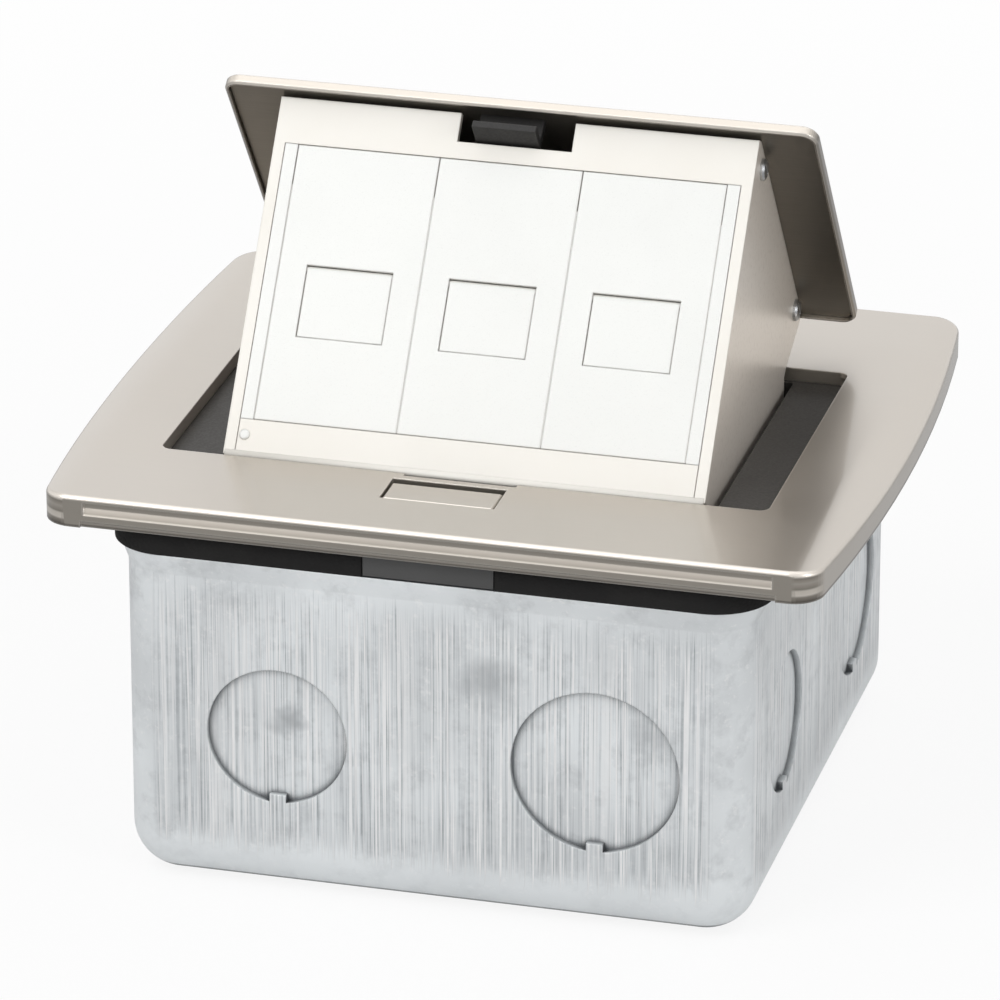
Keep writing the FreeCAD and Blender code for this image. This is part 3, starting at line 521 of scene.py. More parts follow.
        # bloomed patches break the lines up
        patch = self.noise(nt, place, self.bloom_mm * 0.5, 4.0, 0.65)
        thick = nt.math("MULTIPLY", self.ramp(nt, broad, 0.36, 0.56, 0.45, 1.0),
                        self.ramp(nt, patch, 0.4, 0.6, 0.72, 1.0))
        reach = nt.math("MULTIPLY", band, thick, clamp=True)
        grey = nt.math("MULTIPLY", self.ramp(nt, dark, 0.48, 0.63, 0.0, 0.8), reach, clamp=True)
        white = nt.math("MULTIPLY", self.ramp(nt, bright, 0.5, 0.6, 0.0, 0.9), reach, clamp=True)
        colour = self.mix(nt, self.ramp(nt, haze, 0.38, 0.62, 0.0, 0.4), self.colour, self.bloom)
        colour = self.mix(nt, self.ramp(nt, blotch, 0.5, 0.74, 0.0, 0.5), colour, self.bloom)
        colour = self.mix(nt, self.ramp(nt, patch, 0.5, 0.7, 0.0, 0.15), colour, self.dull_and_shade)
        colour = self.mix(nt, self.ramp(nt, speck, 0.58, 0.72, 0.0, 0.4), colour, self.burnish)
        # painted shade: a grey line along the foot of the rubbed band, where the wall turns into the base
        # round; painted highlight: the base round below it is paler
        foot = self.band_low_mm * MM
        foot_shade = nt.math("MULTIPLY", self.ramp(nt, level, foot * 3, foot * 1.2, 0.0, 0.3), band)
        colour = self.mix(nt, foot_shade, colour, self.dull_and_shade)
        colour = self.mix(nt, self.ramp(nt, height, foot * 1.2, foot * 0.8, 0.0, 0.6), colour, self.colour)
        colour = self.mix(nt, grey, colour, self.score)
        colour = self.mix(nt, white, colour, self.burnish)
        for centre_mm, radius_mm, strength in self.marks:
            colour = self.mix(nt, self.mark(nt, place, centre_mm, radius_mm, strength), colour, self.dull_and_shade)
        # painted shade in the tub's gaps, recesses and inner corners
        colour = self.mix(nt, self.shadow(nt, 2.2, 0.95), colour, self.crevice_shade)
        rough = self.ramp(nt, blotch, 0.3, 0.7, self.roughness - 0.08, self.roughness + 0.12)
        relief = nt.math("MULTIPLY", dark, band)
        self.close(nt, colour, rough, relief, 0.3, 0.1)
        return m


@dataclass(frozen=True)
class SatinNickel(Finish):
    """Steel pressing with a satin nickel plate: fine brush lines along X.

    The brushing blurs the room into soft warm bands along the grain.  Faces
    that look to the front or rear, the turned-down rims, are painted darker as
    painted shade, and mirror the floor.
    """

    name: str = "steel, satin nickel plated"
    colour: str = "#beb7ae"
    roughness: float = 0.33
    metallic: float = 0.78
    bevel_mm: float = 0.3
    # painted shade for faces that look to the front or rear
    rim: str = "#9f9990"
    # painted shade on faces that look down, and a darker tone on faces that look aside, or "" for none
    underside_shade: str = ""
    lacquer: float = 0.7
    # painted light and shade of the groove profile round the rim: height in mm and tone, from the foot up
    groove_shading: tuple[tuple[float, str], ...] = ()
    worn: str = "#e6e1da"
    shade: str = "#c3bab0"
    grain_mm: float = 0.18
    grain_ratio: float = 60.0
    cloud_mm: float = 26.0
    grain: Axis = Axis.X

    def paint_groove_shading(self, nt: NodeTree, place: Any, ahead: Any, tone: Any) -> Any:
        """Paint the light and shade of the rim's groove profile round the corners, where it fades out, and a
        line of painted shade along the rim's foot.

        Args:
            nt: Node tree to add to.
            place: Object coordinates.
            ahead: How far a face looks to the front or rear, 0 to 1.
            tone: Colour socket so far.

        Returns:
            Colour socket.
        """
        low, high = self.groove_shading[0][0], self.groove_shading[-1][0]
        height = nt.add("ShaderNodeSeparateXYZ", {0: place}).outputs["Z"]
        share = self.ramp(nt, height, low * MM, high * MM)
        bands = nt.add("ShaderNodeValToRGB", {0: share})
        stops = bands.color_ramp.elements
        while len(stops) < len(self.groove_shading):
            stops.new(0.5)
        for stop, (level, colour) in zip(stops, self.groove_shading):
            stop.position = (level - low) / (high - low)
            stop.color = linear(colour)
        corner = nt.math("MULTIPLY", self.ramp(nt, ahead, 0.15, 0.6),
                         self.ramp(nt, ahead, 0.97, 0.99, 1.0, 0.0))
        tone = self.mix(nt, corner, tone, bands.outputs[0])
        # painted shade: a dark line along the rim's foot, on every face
        return self.mix(nt, self.ramp(nt, height, (low + 0.5) * MM, (low + 0.3) * MM, 0.0, 0.8), tone,
                        self.groove_shading[0][1])

    def build(self) -> bpy.types.Material:
        """Build the material.

        Returns:
            The material.
        """
        m, nt, place = self.start()
        lines = self.stretch(nt, place, self.grain, self.grain_ratio)
        fine = self.noise(nt, lines, self.grain_mm, 2.0, 0.6)
        cloud = self.noise(nt, place, self.cloud_mm, 2.0, 0.5)
        edge = self.edge_mask(nt, 0.5, 3.0)
        tone = self.mix(nt, self.ramp(nt, fine, 0.4, 0.65, 0.0, 0.25), self.colour, self.shade)
        facing = nt.facing()
        ahead = nt.math("ABSOLUTE", facing.outputs["Y"])
        # painted shade: faces that look to the front or rear are darkened
        tone = self.mix(nt, self.ramp(nt, ahead, 0.5, 0.85), tone, self.rim)
        if self.groove_shading:
            tone = self.paint_groove_shading(nt, place, ahead, tone)
        # painted shade: faces that look down are darkened, and faces that look aside are darker too
        if self.underside_shade:
            aside = nt.math("ABSOLUTE", facing.outputs["X"])
            turned_away = nt.math("MAXIMUM", self.ramp(nt, facing.outputs["Z"], -0.2, -0.5),
                           self.ramp(nt, aside, 0.5, 0.9, 0.0, 0.75))
            tone = self.mix(nt, turned_away, tone, self.underside_shade)
        tone = self.mix(nt, self.ramp(nt, edge, 0.0, 1.0, 0.0, 0.7), tone, self.worn)
        rough = self.ramp(nt, cloud, 0.35, 0.65, self.roughness - 0.03, self.roughness + 0.04)
        self.close(nt, tone, rough, fine, 0.06, 0.02, Coat_Weight=self.lacquer, Coat_Roughness=0.08)
        return m


@dataclass(frozen=True)
class PlatedSteel(Finish):
    """Small steel parts, barrel zinc plated: even grey shine, bright edges."""

    name: str = "steel, zinc plated"
    colour: str = "#b9bbbd"
    roughness: float = 0.3
    metallic: float = 1.0
    bevel_mm: float = 0.15
    worn: str = "#e2e3e4"
    cloud_mm: float = 2.5

    def build(self) -> bpy.types.Material:
        """Build the material.

        Returns:
            The material.
        """
        m, nt, place = self.start()
        cloud = self.noise(nt, place, self.cloud_mm, 4.0, 0.6)
        edge = self.edge_mask(nt, 0.2, 3.0)
        tone = self.mix(nt, self.ramp(nt, cloud, 0.35, 0.7, 0.0, 0.4), self.colour, "#8f9295")
        tone = self.mix(nt, edge, tone, self.worn)
        rough = self.ramp(nt, cloud, 0.3, 0.7, self.roughness - 0.06, self.roughness + 0.12)
        self.close(nt, tone, rough, cloud, 0.1, 0.02)
        return m


@dataclass(frozen=True)
class MouldedPlastic(Finish):
    """Injection-moulded plastic with a spark-eroded mould texture.

    The fine pits break up the shine; edges catch a slightly paler line.  Gaps and inner corners get painted
    shade.
    """

    name: str = "ABS, moulded"
    colour: str = "#f2eee4"
    roughness: float = 0.42
    bevel_mm: float = 0.3
    grit_mm: float = 0.35
    relief: float = 0.08
    edge_colour: str = "#fbf9f3"
    cloud_mm: float = 18.0
    shade: str = "#e9e4d8"
    # painted shade in gaps and inner corners
    crevice_shade: str = "#b9b4a9"
    crevice_mm: float = 0.8

    def build(self) -> bpy.types.Material:
        """Build the material.

        Returns:
            The material.
        """
        m, nt, place = self.start()
        grit = self.noise(nt, place, self.grit_mm, 2.0, 0.5)
        cloud = self.noise(nt, place, self.cloud_mm, 3.0, 0.5)
        edge = self.edge_mask(nt, 0.35, 2.0)
        tone = self.mix(nt, self.ramp(nt, cloud, 0.4, 0.7, 0.0, 0.5), self.colour, self.shade)
        tone = self.mix(nt, edge, tone, self.edge_colour)
        # painted shade in gaps and inner corners, from ambient occlusion
        tone = self.mix(nt, self.shadow(nt, self.crevice_mm), tone, self.crevice_shade)
        rough = self.ramp(nt, grit, 0.3, 0.7, self.roughness - 0.05, self.roughness + 0.08)
        self.close(nt, tone, rough, grit, self.relief, 0.04)
        return m


@dataclass(frozen=True)
class CradleSheet(MouldedPlastic):
    """Folded steel sheet with satin plated sides, its front painted lighter: painted light and shade by
    facing.

    The side plates are a warm satin metal that mirrors the lid and the well,
    with faint brown specks.
    """

    name: str = "steel sheet, folded, front painted lit"
    # painted light: the front tone, lighter than the sides
    colour: str = "#faf7f0"
    shade: str = "#f4f0e7"
    # the sides' darker tone, the shaded side of the painted light
    side: str = "#e9e1d7"
    speck: str = "#b5aa9d"
    side_metal: float = 0.4

    def build(self) -> bpy.types.Material:
        """Build the material.

        Returns:
            The material.
        """
        m, nt, place = self.start()
        grit = self.noise(nt, place, self.grit_mm, 2.0, 0.5)
        cloud = self.noise(nt, place, self.cloud_mm, 3.0, 0.5)
        specks = self.noise(nt, place, 0.9, 4.0, 0.7)
        facing = nt.facing()
        aside = nt.math("ABSOLUTE", facing.outputs["X"])
        # painted light and shade: faces that look forward get the lighter front tone, faces that look aside
        # the darker side tone
        mask = self.ramp(nt, aside, 0.5, 0.9)
        front = self.mix(nt, self.ramp(nt, cloud, 0.4, 0.7, 0.0, 0.6), self.colour, self.shade)
        plated = self.mix(nt, self.ramp(nt, specks, 0.5, 0.75, 0.0, 0.3), self.side, self.speck)
        tone = self.mix(nt, mask, front, plated)
        # painted shade in gaps and inner corners
        tone = self.mix(nt, self.shadow(nt, self.crevice_mm, 0.5), tone, self.crevice_shade)
        rough = self.ramp(nt, mask, 0.0, 1.0, self.roughness, 0.3)
        pits = nt.math("MULTIPLY", grit, self.ramp(nt, mask, 0.0, 1.0, 1.0, 0.15))
        self.close(nt, tone, rough, pits, self.relief, 0.04,
                   Metallic=self.ramp(nt, mask, 0.0, 1.0, 0.0, self.side_metal))
        return m


@dataclass(frozen=True)
class ClosedCellFoam(Finish):
    """Closed-cell neoprene foam, die cut: matt black with tiny open cells."""

    name: str = "neoprene foam, die cut"
    colour: str = "#0e0d0d"
    roughness: float = 0.95
    bevel_mm: float = 0.5
    cell_mm: float = 0.5

    def build(self) -> bpy.types.Material:
        """Build the material.

        Returns:
            The material.
        """
        m, nt, place = self.start()
        cells = nt.add("ShaderNodeTexVoronoi", {"Vector": place, "Scale": per_mm(self.cell_mm)})
        cloud = self.noise(nt, place, 6.0)
        tone = self.mix(nt, self.ramp(nt, cloud, 0.4, 0.7), self.colour, "#171615")
        self.close(nt, tone, self.roughness, cells.outputs["Distance"], 0.5, 0.15)
        return m


@dataclass(frozen=True)
class StampedBronze(Finish):
    """Phosphor bronze strip, stamped and gold flashed: warm, smooth, bright."""

    name: str = "phosphor bronze, gold flashed"
    colour: str = "#e3b765"
    roughness: float = 0.25
    metallic: float = 1.0
    bevel_mm: float = 0.08
    tarnish: str = "#b08a48"

    def build(self) -> bpy.types.Material:
        """Build the material.

        Returns:
            The material.
        """
        m, nt, place = self.start()
        cloud = self.noise(nt, place, 1.6, 4.0, 0.6)
        edge = self.edge_mask(nt, 0.15, 3.0)
        tone = self.mix(nt, self.ramp(nt, cloud, 0.4, 0.7, 0.0, 0.6), self.colour, self.tarnish)
        tone = self.mix(nt, edge, tone, "#f3d694")
        rough = self.ramp(nt, cloud, 0.3, 0.7, self.roughness - 0.05, self.roughness + 0.15)
        self.close(nt, tone, rough, cloud, 0.08, 0.02)
        return m


@dataclass
class FinishRack:
    """Every finish of the part, built once and handed out by name."""

    galvanised: bpy.types.Material = field(init=False)
    nickel: bpy.types.Material = field(init=False)
    lid: bpy.types.Material = field(init=False)
    lining_shade: bpy.types.Material = field(init=False)
    catch: bpy.types.Material = field(init=False)
    zinc: bpy.types.Material = field(init=False)
    spring: bpy.types.Material = field(init=False)
    black: bpy.types.Material = field(init=False)
    housing: bpy.types.Material = field(init=False)
    foam: bpy.types.Material = field(init=False)
    seal: bpy.types.Material = field(init=False)
    lit_front_sheet: bpy.types.Material = field(init=False)
    ivory: bpy.types.Material = field(init=False)
    white: bpy.types.Material = field(init=False)
    bronze: bpy.types.Material = field(init=False)

    def __post_init__(self) -> None:
        """Build the materials."""
        self.galvanised = GalvanisedSheet().build()
        # painted light and shade of the rim's groove profile, from its foot up
        self.nickel = SatinNickel(groove_shading=(
            (59.0, "#57524b"), (59.5, "#6f6961"), (60.0, "#8f8980"), (60.3, "#d9d2c9"), (61.0, "#d2cbc1"),
            (61.3, "#8e887f"), (62.2, "#aca59c"), (63.0, "#8b857c"), (63.3, "#d8d1c8"))).build()
        # the stiffener under the lid is painted dark: a painted shade for the shadow under the lid; it
        # mirrors the plate and the well
        self.lining_shade = SatinNickel(name="steel, painted dark as shade under the lid", colour="#78726a", roughness=0.36,
                                  metallic=0.85, worn="#8a847b", rim="#747069", lacquer=0.0).build()
        # the catch is painted near black: a painted shade for the dark notch it sits in
        self.catch = MouldedPlastic(name="nylon, moulded, painted dark as notch shade", colour="#1b1a19", roughness=0.6,
                                    edge_colour="#3a3735", shade="#1f1d1c", crevice_shade="#100f0f").build()
        # the lid's faces that look down get painted shade, and those that look aside are darker
        self.lid = SatinNickel(name="steel, satin nickel plated, thin tray", colour="#cfc7bc",
                               roughness=0.34, rim="#cbc5bc", underside_shade="#5f5a54").build()
        self.zinc = PlatedSteel().build()
        self.spring = PlatedSteel(name="spring steel, oil blacked", colour="#4a4b4e",
                                  worn="#8c8d90", roughness=0.35).build()
        # glass-filled nylon: dull, with pale fibres that show at the edges
        self.black = MouldedPlastic(name="nylon, glass filled, moulded", colour="#3a3836", roughness=0.55,
                                    edge_colour="#5c5955", shade="#2f2d2b", crevice_shade="#181716",
                                    relief=0.15).build()
        self.housing = MouldedPlastic(name="acetal, moulded", colour="#4b4b4b", roughness=0.45,
                                      edge_colour="#6a6a6a", shade="#424242", crevice_shade="#202020").build()
        self.foam = ClosedCellFoam().build()
        self.seal = ClosedCellFoam(name="nitrile rubber, pressed", colour="#262626", roughness=0.8,
                                   cell_mm=0.25).build()
        self.lit_front_sheet = CradleSheet().build()
        self.ivory = MouldedPlastic(name="ABS, moulded, ivory", colour="#f7f4ed", shade="#f1ede4",
                                    crevice_shade="#ddd8ce", roughness=0.35).build()
        self.white = MouldedPlastic(name="polycarbonate, moulded, white", colour="#f3f4f1", roughness=0.3,
                                    edge_colour="#ffffff", shade="#eeefec", relief=0.03,
                                    grit_mm=0.2, crevice_shade="#e3e1dc").build()
        self.bronze = StampedBronze().build()


# --------------------------------------------------------------------------
# dressing
# --------------------------------------------------------------------------
@dataclass
class SubAssembly:
    """A group of pieces on one body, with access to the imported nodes."""

    frame: dict[str, Any]
    finishes: FinishRack
    body: str = "housing"

    def dress(self, material: bpy.types.Material, *nodes: str) -> None:
        """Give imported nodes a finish.

        Args:
            material: The finish.
            *nodes: Node names.
        """
        for name in nodes:
            mesh = self.frame["nodes"][name].data
            mesh.materials.clear()
            mesh.materials.append(material)
            LOG.info("dressed %s in %s", name, material.name)

    def piece(self, name: str, mesh: bpy.types.Mesh, material: bpy.types.Material,
              slot: str) -> bpy.types.Object:
        """Add a fine piece that rides with this group's body.

        Args:
            name: Name of the piece.
            mesh: Its mesh.
            material: Its finish.
            slot: Material slot of the record it belongs to; not used.

        Returns:
            The new object.
        """
        piece = bpy.data.objects.new(name, mesh)
        bpy.context.scene.collection.objects.link(piece)
        mesh.materials.append(material)
        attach(piece, self.body)
        LOG.info("made %s", name)
        return piece


@dataclass(frozen=True)
class FaceAxes:
    """Axes of the open cassette's front: across, in from the face and up it."""

    y: float
    z: float
    lean: float = math.radians(54.0)

    @classmethod
    def from_record(cls, record: dict[str, Any], depth_mm: float = 0.85, rise_mm: float = 29.9) -> "FaceAxes":
        """Find the face's lower edge from the middle door's hinge line.

        Args:
            record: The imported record.
            depth_mm: Depth of the hinge line behind the face.
            rise_mm: Height of the hinge line up the face.

        Returns:
            The axes.
        """
        joint = next(j for j in record["behaviour"]["joints"] if j["name"] == "door_swing_centre")
        _, y, z = joint["pos_m"]
        cos, sin = math.cos(cls.lean), math.sin(cls.lean)
        return cls(y - (rise_mm * cos + depth_mm * sin) * MM, z - (rise_mm * sin - depth_mm * cos) * MM)

    def at(self, x_mm: float, depth_mm: float, rise_mm: float) -> Vector:
        """Place of a point of the face.

        Args:
            x_mm: Across, from the middle.
            depth_mm: In from the face.
            rise_mm: Up the face.

        Returns:
            The place in metres.
        """
        cos, sin = math.cos(self.lean), math.sin(self.lean)
        return Vector((x_mm * MM, self.y + (rise_mm * cos + depth_mm * sin) * MM,
                       self.z + (rise_mm * sin - depth_mm * cos) * MM))


def ridge(face: FaceAxes, left_mm: float, right_mm: float, low_mm: float, high_mm: float,
          sink_mm: float, deep_mm: float, steps: int = 4) -> bpy.types.Mesh:
    """Thin moulded ridge with a rounded front, set below the face.

    Args:
        face: Axes of the cassette's front.
        left_mm: Left side.
        right_mm: Right side.
        low_mm: Lower end.
        high_mm: Upper end.
        sink_mm: Depth of its crest below the face.
        deep_mm: Depth of its root.
        steps: Facets of half the round.

    Returns:
        The mesh.
    """
    half = (right_mm - left_mm) / 2
    sides = [(right_mm, deep_mm)]
    for i in range(2 * steps + 1):
        turn = math.pi * i / (2 * steps)
        sides.append((left_mm + half + half * math.cos(turn),
                      sink_mm + half * min(1.0, 0.3 / half) * (1 - math.sin(turn))))
    sides.append((left_mm, deep_mm))
    count = len(sides)
    verts = [face.at(x, depth, rise) for rise in (low_mm, high_mm) for x, depth in sides]
    faces = [(i, (i + 1) % count, count + (i + 1) % count, count + i) for i in range(count)]
    faces += [tuple(reversed(range(count))), tuple(range(count, 2 * count))]
    mesh = bpy.data.meshes.new("ridge")
    mesh.from_pydata(verts, [], [tuple(reversed(f)) for f in faces])
    mesh.polygons.foreach_set("use_smooth", [False] * len(faces))
    return mesh


@dataclass
class BackBox(SubAssembly):
    """Drawn tub with its lugs and earth terminal."""

    def build(self) -> None:
        """Dress the tub."""
        self.dress(self.finishes.galvanised, "back_box", "box_lugs")
        self.dress(self.finishes.bronze, "earth_terminal")
        self.dress(self.finishes.zinc, "earth_screw")


@dataclass
class TopPlate(SubAssembly):
    """Cover plate, inner frame, foam and seals."""

    def build(self) -> None:
        """Dress the top of the box."""
        self.dress(self.finishes.nickel, "cover_plate")
        self.dress(self.finishes.black, "inner_frame")
        self.dress(self.finishes.zinc, "plate_clips", "frame_screws")
        self.dress(self.finishes.foam, "foam_collar")
        self.dress(self.finishes.seal, "floor_seals", "stop_pads")
        self.dress(self.finishes.housing, "latch_housing")


@dataclass
class Hinge(SubAssembly):
    """Brackets and pins at both ends of the hinge line, with a wound spring on each."""

    wire_mm: float = 0.47
    coil_mm: float = 2.15
    pitch_mm: float = 1.15
    turns: float = 4.25
    steps: int = 28
    tail_mm: float = 1.3

    def spring_path(self, side: float, low: Vector, high: Vector) -> list[Vector]:
        """Middle line of one spring: leg, coil and tail.

        Args:
            side: -1 on the left and 1 on the right.
            low: Lowest corner of the spring's room.
            high: Highest corner of the spring's room.

        Returns:
            Points of the line.
        """
        joint = next(j for j in self.frame["record"]["behaviour"]["joints"]
                     if j["name"] == "cassette_flip")
        _, y0, z0 = joint["pos_m"]
        coil = self.coil_mm * MM
        start = (low.x if side > 0 else high.x) + side * self.pitch_mm * 0.5 * MM
        foot = Vector((start, high.y - self.wire_mm * MM, z0 - coil))
        leg = bend([Vector((start, foot.y, high.z)), foot, Vector((start, y0, z0 - coil))], 1.0 * MM)
        count = int(self.turns * self.steps)
        wound = []
        for i in range(1, count + 1):
            turn = math.tau * i / self.steps
            wound.append(Vector((start + side * self.pitch_mm * MM * i / self.steps,
                                 y0 - coil * math.sin(turn), z0 - coil * math.cos(turn))))
        ahead = (wound[-1] - wound[-2]).normalized()
        return leg + wound + [wound[-1] + ahead * self.tail_mm * MM]

    def build(self) -> None:
        """Dress the hinge and wind the springs."""
        for name, side in (("left", -1.0), ("right", 1.0)):
            self.dress(self.finishes.galvanised, "hinge_bracket_" + name)
            self.dress(self.finishes.zinc, "hinge_pin_" + name)
            node = "torsion_spring_" + name
            low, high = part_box(node)
            mesh = wire_mesh("wound_spring_" + name, self.spring_path(side, low, high), self.wire_mm * MM)
            spring = self.piece("wound_spring_" + name, mesh, self.finishes.spring, "spring_steel")
            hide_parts(node)


@dataclass
class Latch(SubAssembly):
    """Button, slide and tongue."""

    body: str = "latch"

    def build(self) -> None:
        """Dress the latch."""
        self.dress(self.finishes.nickel, "latch_button")
        self.dress(self.finishes.black, "latch_slide")
        self.dress(self.finishes.zinc, "latch_tongue")


@dataclass
class Cassette(SubAssembly):
    """Lid, cradle and outlet modules."""

    body: str = "cassette"
    pitch_mm: float = 22.5
    wires: int = 8
    wire_pitch_mm: float = 1.02
    wire_mm: float = 0.19
    floor_mm: float = 18.55
    front_mm: float = 5.3
    back_mm: float = 15.2
    # how far forward and up the sprung tip of a wire ends, and its bend
    tip_mm: tuple[float, float] = (3.5, 3.9)
    bend_mm: float = 0.7
    seam_mm: float = 0.15
    seam_sink_mm: float = 0.1
    seam_deep_mm: float = 1.6
    seam_rise_mm: tuple[float, float] = (5.9, 43.0)
    roll_half_mm: float = 37.4
    # section of the roll, rearward and up from the face's lower edge
    roll_mm: tuple[tuple[float, float], ...] = (
        (0.42, 0.58), (0.22, 0.44), (0.02, 0.28), (-0.14, 0.1), (-0.23, -0.1), (-0.25, -0.32), (-0.18, -0.5),
        (0.0, -0.62), (0.3, -0.6), (0.6, -0.3), (0.7, 0.3))

    def contact_wires(self, name: str, centre_mm: float, face: FaceAxes) -> None:
        """Bend the contact wires of one jack: along its floor, then up and back.

        Args:
            name: Side of the jack.
            centre_mm: Middle of the jack.
            face: Axes of the cassette's front.
        """
        level = self.floor_mm + self.wire_mm
        meshes = []
        for i in range(self.wires):
            x = centre_mm + (i - (self.wires - 1) / 2) * self.wire_pitch_mm
            line = bend([face.at(x, self.back_mm, level), face.at(x, self.front_mm, level),
                         face.at(x, self.back_mm - self.tip_mm[0], level + self.tip_mm[1])],
                        self.bend_mm * MM, 5)
            meshes.append(wire_mesh("wire", line, self.wire_mm * MM, 8))
        wires = self.piece("contact_wires_" + name, joined("contact_wires_" + name, meshes),
                           self.finishes.bronze, "contact_bronze")
        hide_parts("contacts_" + name)

    def seam_ribs(self, face: FaceAxes) -> None:
        """Mould the thin ribs that close the seams between modules.

        Args:
            face: Axes of the cassette's front.
        """
        half = self.seam_mm / 2
        low, high = self.seam_rise_mm
        bars = [ridge(face, x - half, x + half, low, high, self.seam_sink_mm, self.seam_deep_mm)
                for x in ((i - len(SIDES) / 2) * self.pitch_mm for i in range(len(SIDES) + 1))]
        self.piece("seam_ribs", joined("seam_ribs", bars), self.finishes.white, "white_plastic")

    def foot_roll(self, face: FaceAxes) -> None:
        """Roll the lower panel's foot forward over the gap to the cover plate.

        Args:
            face: Axes of the cassette's front.
        """
        y0, z0 = face.y, face.z
        count = len(self.roll_mm)
        verts = [Vector((x * MM, y0 + y * MM, z0 + z * MM))
                 for x in (-self.roll_half_mm, self.roll_half_mm) for y, z in self.roll_mm]
        faces = [(i, count + i, count + (i + 1) % count, (i + 1) % count) for i in range(count)]
        faces += [tuple(range(count)), tuple(reversed(range(count, 2 * count)))]
        mesh = bpy.data.meshes.new("panel_foot_roll")
        mesh.from_pydata(verts, [], faces)
        mesh.polygons.foreach_set("use_smooth", [len(f) == 4 for f in faces])
        self.piece("panel_foot_roll", mesh, self.finishes.ivory, "ivory_plastic")

    def build(self) -> None:
        """Dress the cassette."""
        face = FaceAxes.from_record(self.frame["record"])
        self.seam_ribs(face)
        self.foot_roll(face)
        self.dress(self.finishes.lid, "lid_shell")
        # the stiffener is painted dark as shade under the lid
        self.dress(self.finishes.lining_shade, "lid_stiffener")
        # the catch is painted near black as the notch's shade
        self.dress(self.finishes.catch, "lid_catch")
        self.dress(self.finishes.zinc, "lid_lugs", "cradle_screws")
        # the cradle's front is painted lighter than its sides, as painted light
        self.dress(self.finishes.lit_front_sheet, "cradle")
        self.dress(self.finishes.ivory, "lower_panel")
        self.dress(self.finishes.white, "panel_rivet", "module_holder")
        for side in SIDES:
            self.dress(self.finishes.white, "faceplate_" + side, "jack_body_" + side, "flap_" + side,
                       "terminals_" + side)
            self.contact_wires(side, (SIDES.index(side) - 1) * self.pitch_mm, face)


@dataclass
class Door(SubAssembly):
    """Lip moulded round one flap's sides and foot, which narrows its gap."""

    side: str = "centre"
    centre_mm: float = 0.0
    half_mm: float = 6.7
    foot_mm: float = 19.3
    head_mm: float = 29.2
    reach_mm: float = 0.09
    inset_mm: float = 0.12
    sink_mm: float = 0.33
    deep_mm: float = 1.3

    def build(self) -> None:
        """Mould the lip."""
        face = FaceAxes.from_record(self.frame["record"])
        left, right = self.centre_mm - self.half_mm, self.centre_mm + self.half_mm
        foot = self.foot_mm - self.reach_mm
        bars = [ridge(face, left - self.reach_mm, left + self.inset_mm, foot, self.head_mm, self.sink_mm,
                      self.deep_mm),
                ridge(face, right - self.inset_mm, right + self.reach_mm, foot, self.head_mm, self.sink_mm,
                      self.deep_mm),
                ridge(face, left, right, foot, self.foot_mm + self.inset_mm, self.sink_mm, self.deep_mm)]
        name = "flap_lip_" + self.side
        self.piece(name, joined(name, bars), self.finishes.white, "white_plastic")


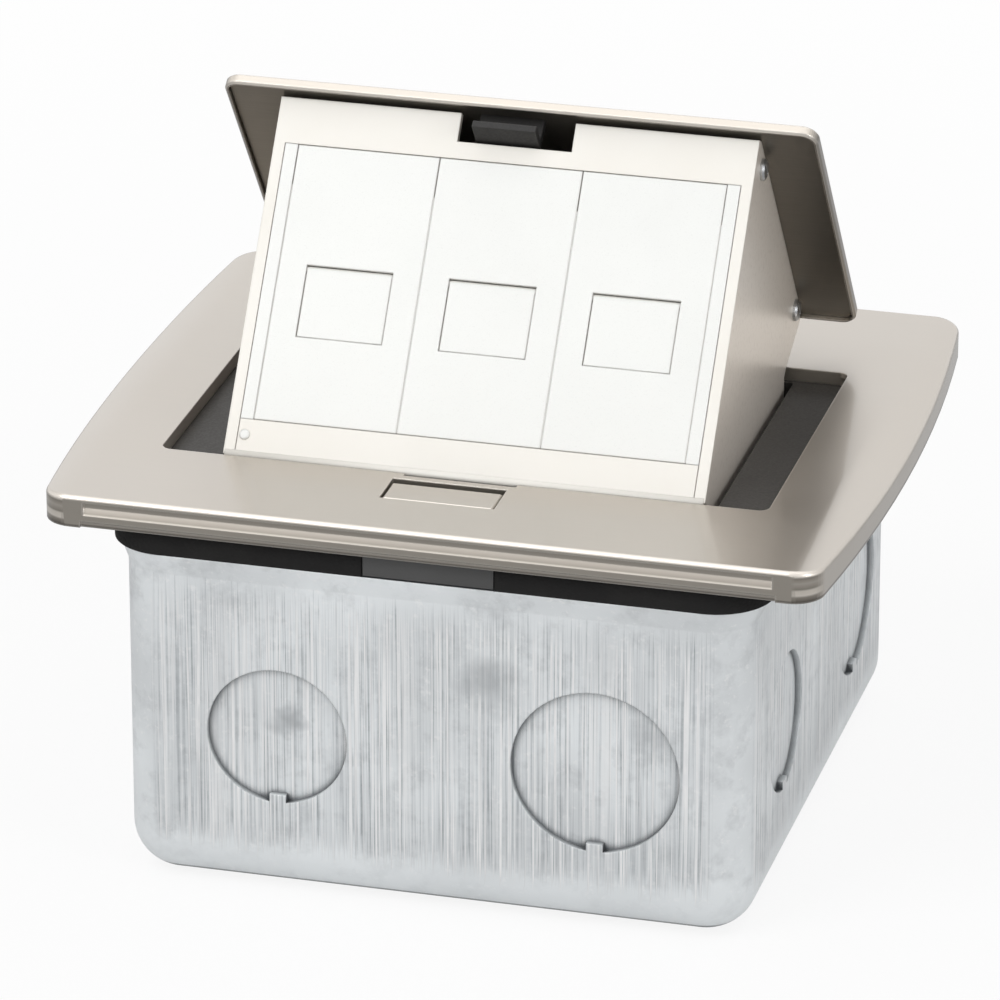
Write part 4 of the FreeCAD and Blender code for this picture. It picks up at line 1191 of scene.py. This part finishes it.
# --------------------------------------------------------------------------
# studio
# --------------------------------------------------------------------------
@dataclass
class Studio:
    """Pale floor, soft lights and the camera."""

    aim: Vector = field(default_factory=lambda: Vector((-0.00225, -0.0008, 0.04743)))
    towards: Vector = field(default_factory=lambda: Vector((0.2371, -0.8878, 0.3944)))
    distance: float = 1.1543
    lens_mm: float = 267.5
    sensor_mm: float = 36.0
    floor_half: float = 3.0

    def floor(self) -> None:
        """Lay a white floor that goes on as the background."""
        mesh = bpy.data.meshes.new("floor")
        h = self.floor_half
        mesh.from_pydata([(-h, -h, 0), (h, -h, 0), (h, h, 0), (-h, h, 0)], [], [(0, 1, 2, 3)])
        floor = bpy.data.objects.new("floor", mesh)
        bpy.context.scene.collection.objects.link(floor)
        material = bpy.data.materials.new("pale studio floor")
        material.use_nodes = True
        material.node_tree.nodes.clear()
        nt = NodeTree(material.node_tree)
        place = nt.add("ShaderNodeTexCoord").outputs["Object"]
        noise = nt.add("ShaderNodeTexNoise", {"Vector": place, "Scale": per_mm(40.0)})
        rough = nt.add("ShaderNodeMapRange", {"Value": noise.outputs[0], "To Min": 0.7, "To Max": 0.85})
        paint = nt.add("ShaderNodeBsdfPrincipled", {"Base Color": linear("#f4f4f4"),
                                                    "Roughness": rough.outputs[0]})
        ray = nt.add("ShaderNodeLightPath")
        # mirrored in the metal, the floor is dimmer than it looks
        power = nt.add("ShaderNodeMapRange", {"Value": ray.outputs["Is Glossy Ray"], "To Min": 1.0,
                                              "To Max": 0.5})
        glow = nt.add("ShaderNodeEmission", {"Color": (1, 1, 1, 1), "Strength": power.outputs[0]})
        seen = nt.math("MAXIMUM", ray.outputs["Is Camera Ray"], ray.outputs["Is Glossy Ray"])
        seen = nt.math("MAXIMUM", seen, ray.outputs["Is Transmission Ray"])
        # the shadow shows near the object, and far off the floor is as white as the wall
        away = nt.add("ShaderNodeVectorMath", {0: place}, operation="LENGTH")
        white = nt.add("ShaderNodeMapRange", {"Value": away.outputs["Value"], "From Min": 0.15,
                                              "From Max": 0.5, "To Min": 0.88, "To Max": 1.0})
        share = nt.math("MULTIPLY", seen, white.outputs[0])
        both = nt.add("ShaderNodeMixShader", {0: share, 1: paint.outputs[0],
                                              2: glow.outputs[0]})
        nt.add("ShaderNodeOutputMaterial", {"Surface": both.outputs[0]})
        mesh.materials.append(material)

    def world(self) -> None:
        """White world for the eye and reflections, plain grey for the light."""
        world = bpy.data.worlds.new("studio")
        bpy.context.scene.world = world
        world.use_nodes = True
        world.node_tree.nodes.clear()
        nt = NodeTree(world.node_tree)
        ray = nt.add("ShaderNodeLightPath")
        light = nt.add("ShaderNodeBackground", {"Color": (1, 1, 1, 1), "Strength": 0.4})
        mirrored = nt.add("ShaderNodeBackground", {"Color": (1, 1, 1, 1), "Strength": 1.1})
        light = nt.add("ShaderNodeMixShader", {0: ray.outputs["Is Glossy Ray"], 1: light.outputs[0],
                                               2: mirrored.outputs[0]})
        seen = nt.add("ShaderNodeBackground", {"Color": (1, 1, 1, 1), "Strength": 1.0})
        either = nt.math("MAXIMUM", ray.outputs["Is Camera Ray"], ray.outputs["Is Transmission Ray"])
        both = nt.add("ShaderNodeMixShader", {0: either, 1: light.outputs[0],
                                              2: seen.outputs[0]})
        nt.add("ShaderNodeOutputWorld", {"Surface": both.outputs[0]})

    def lamp(self, name: str, place: Sequence[float], size: float, watts: float,
             colour: str = "#ffffff") -> None:
        """Hang one soft lamp that faces the object.

        Args:
            name: Name of the lamp.
            place: Where it hangs.
            size: Side of its square face.
            watts: Power.
            colour: sRGB hex colour.
        """
        light = bpy.data.lights.new(name, "AREA")
        light.shape = "SQUARE"
        light.size = size
        light.energy = watts
        light.color = linear(colour)[:3]
        lamp = bpy.data.objects.new(name, light)
        bpy.context.scene.collection.objects.link(lamp)
        lamp.location = place
        lamp.rotation_euler = (self.aim - Vector(place)).to_track_quat("-Z", "Y").to_euler()

    def camera(self) -> None:
        """Set the camera at the viewing angle."""
        data = bpy.data.cameras.new("camera")
        data.lens = self.lens_mm
        data.sensor_width = self.sensor_mm
        data.clip_end = 20.0
        camera = bpy.data.objects.new("camera", data)
        bpy.context.scene.collection.objects.link(camera)
        away = self.towards.normalized()
        camera.location = self.aim + away * self.distance
        camera.rotation_euler = (-away).to_track_quat("-Z", "Y").to_euler()
        bpy.context.scene.camera = camera

    def build(self) -> None:
        """Build the studio."""
        self.floor()
        self.world()
        self.lamp("key", (-0.8, -1.1, 1.4), 1.0, 13.0)
        self.lamp("fill", (1.6, -0.7, 0.7), 0.8, 8.0)
        self.lamp("top", (0.0, 0.4, 1.7), 2.0, 8.0)
        self.camera()
        bpy.context.scene.view_settings.view_transform = "Standard"


def main() -> None:
    """Load the model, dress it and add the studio."""
    logging.basicConfig(level=logging.INFO, format="%(name)s: %(message)s")
    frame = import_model()
    finishes = FinishRack()
    for group in (BackBox, TopPlate, Hinge, Latch, Cassette):
        group(frame, finishes).build()
    for side, centre_mm in zip(SIDES, (-Cassette.pitch_mm, 0.0, Cassette.pitch_mm)):
        Door(frame, finishes, "door_" + side, side, centre_mm).build()
    Studio().build()


if __name__ == "__main__":
    main()
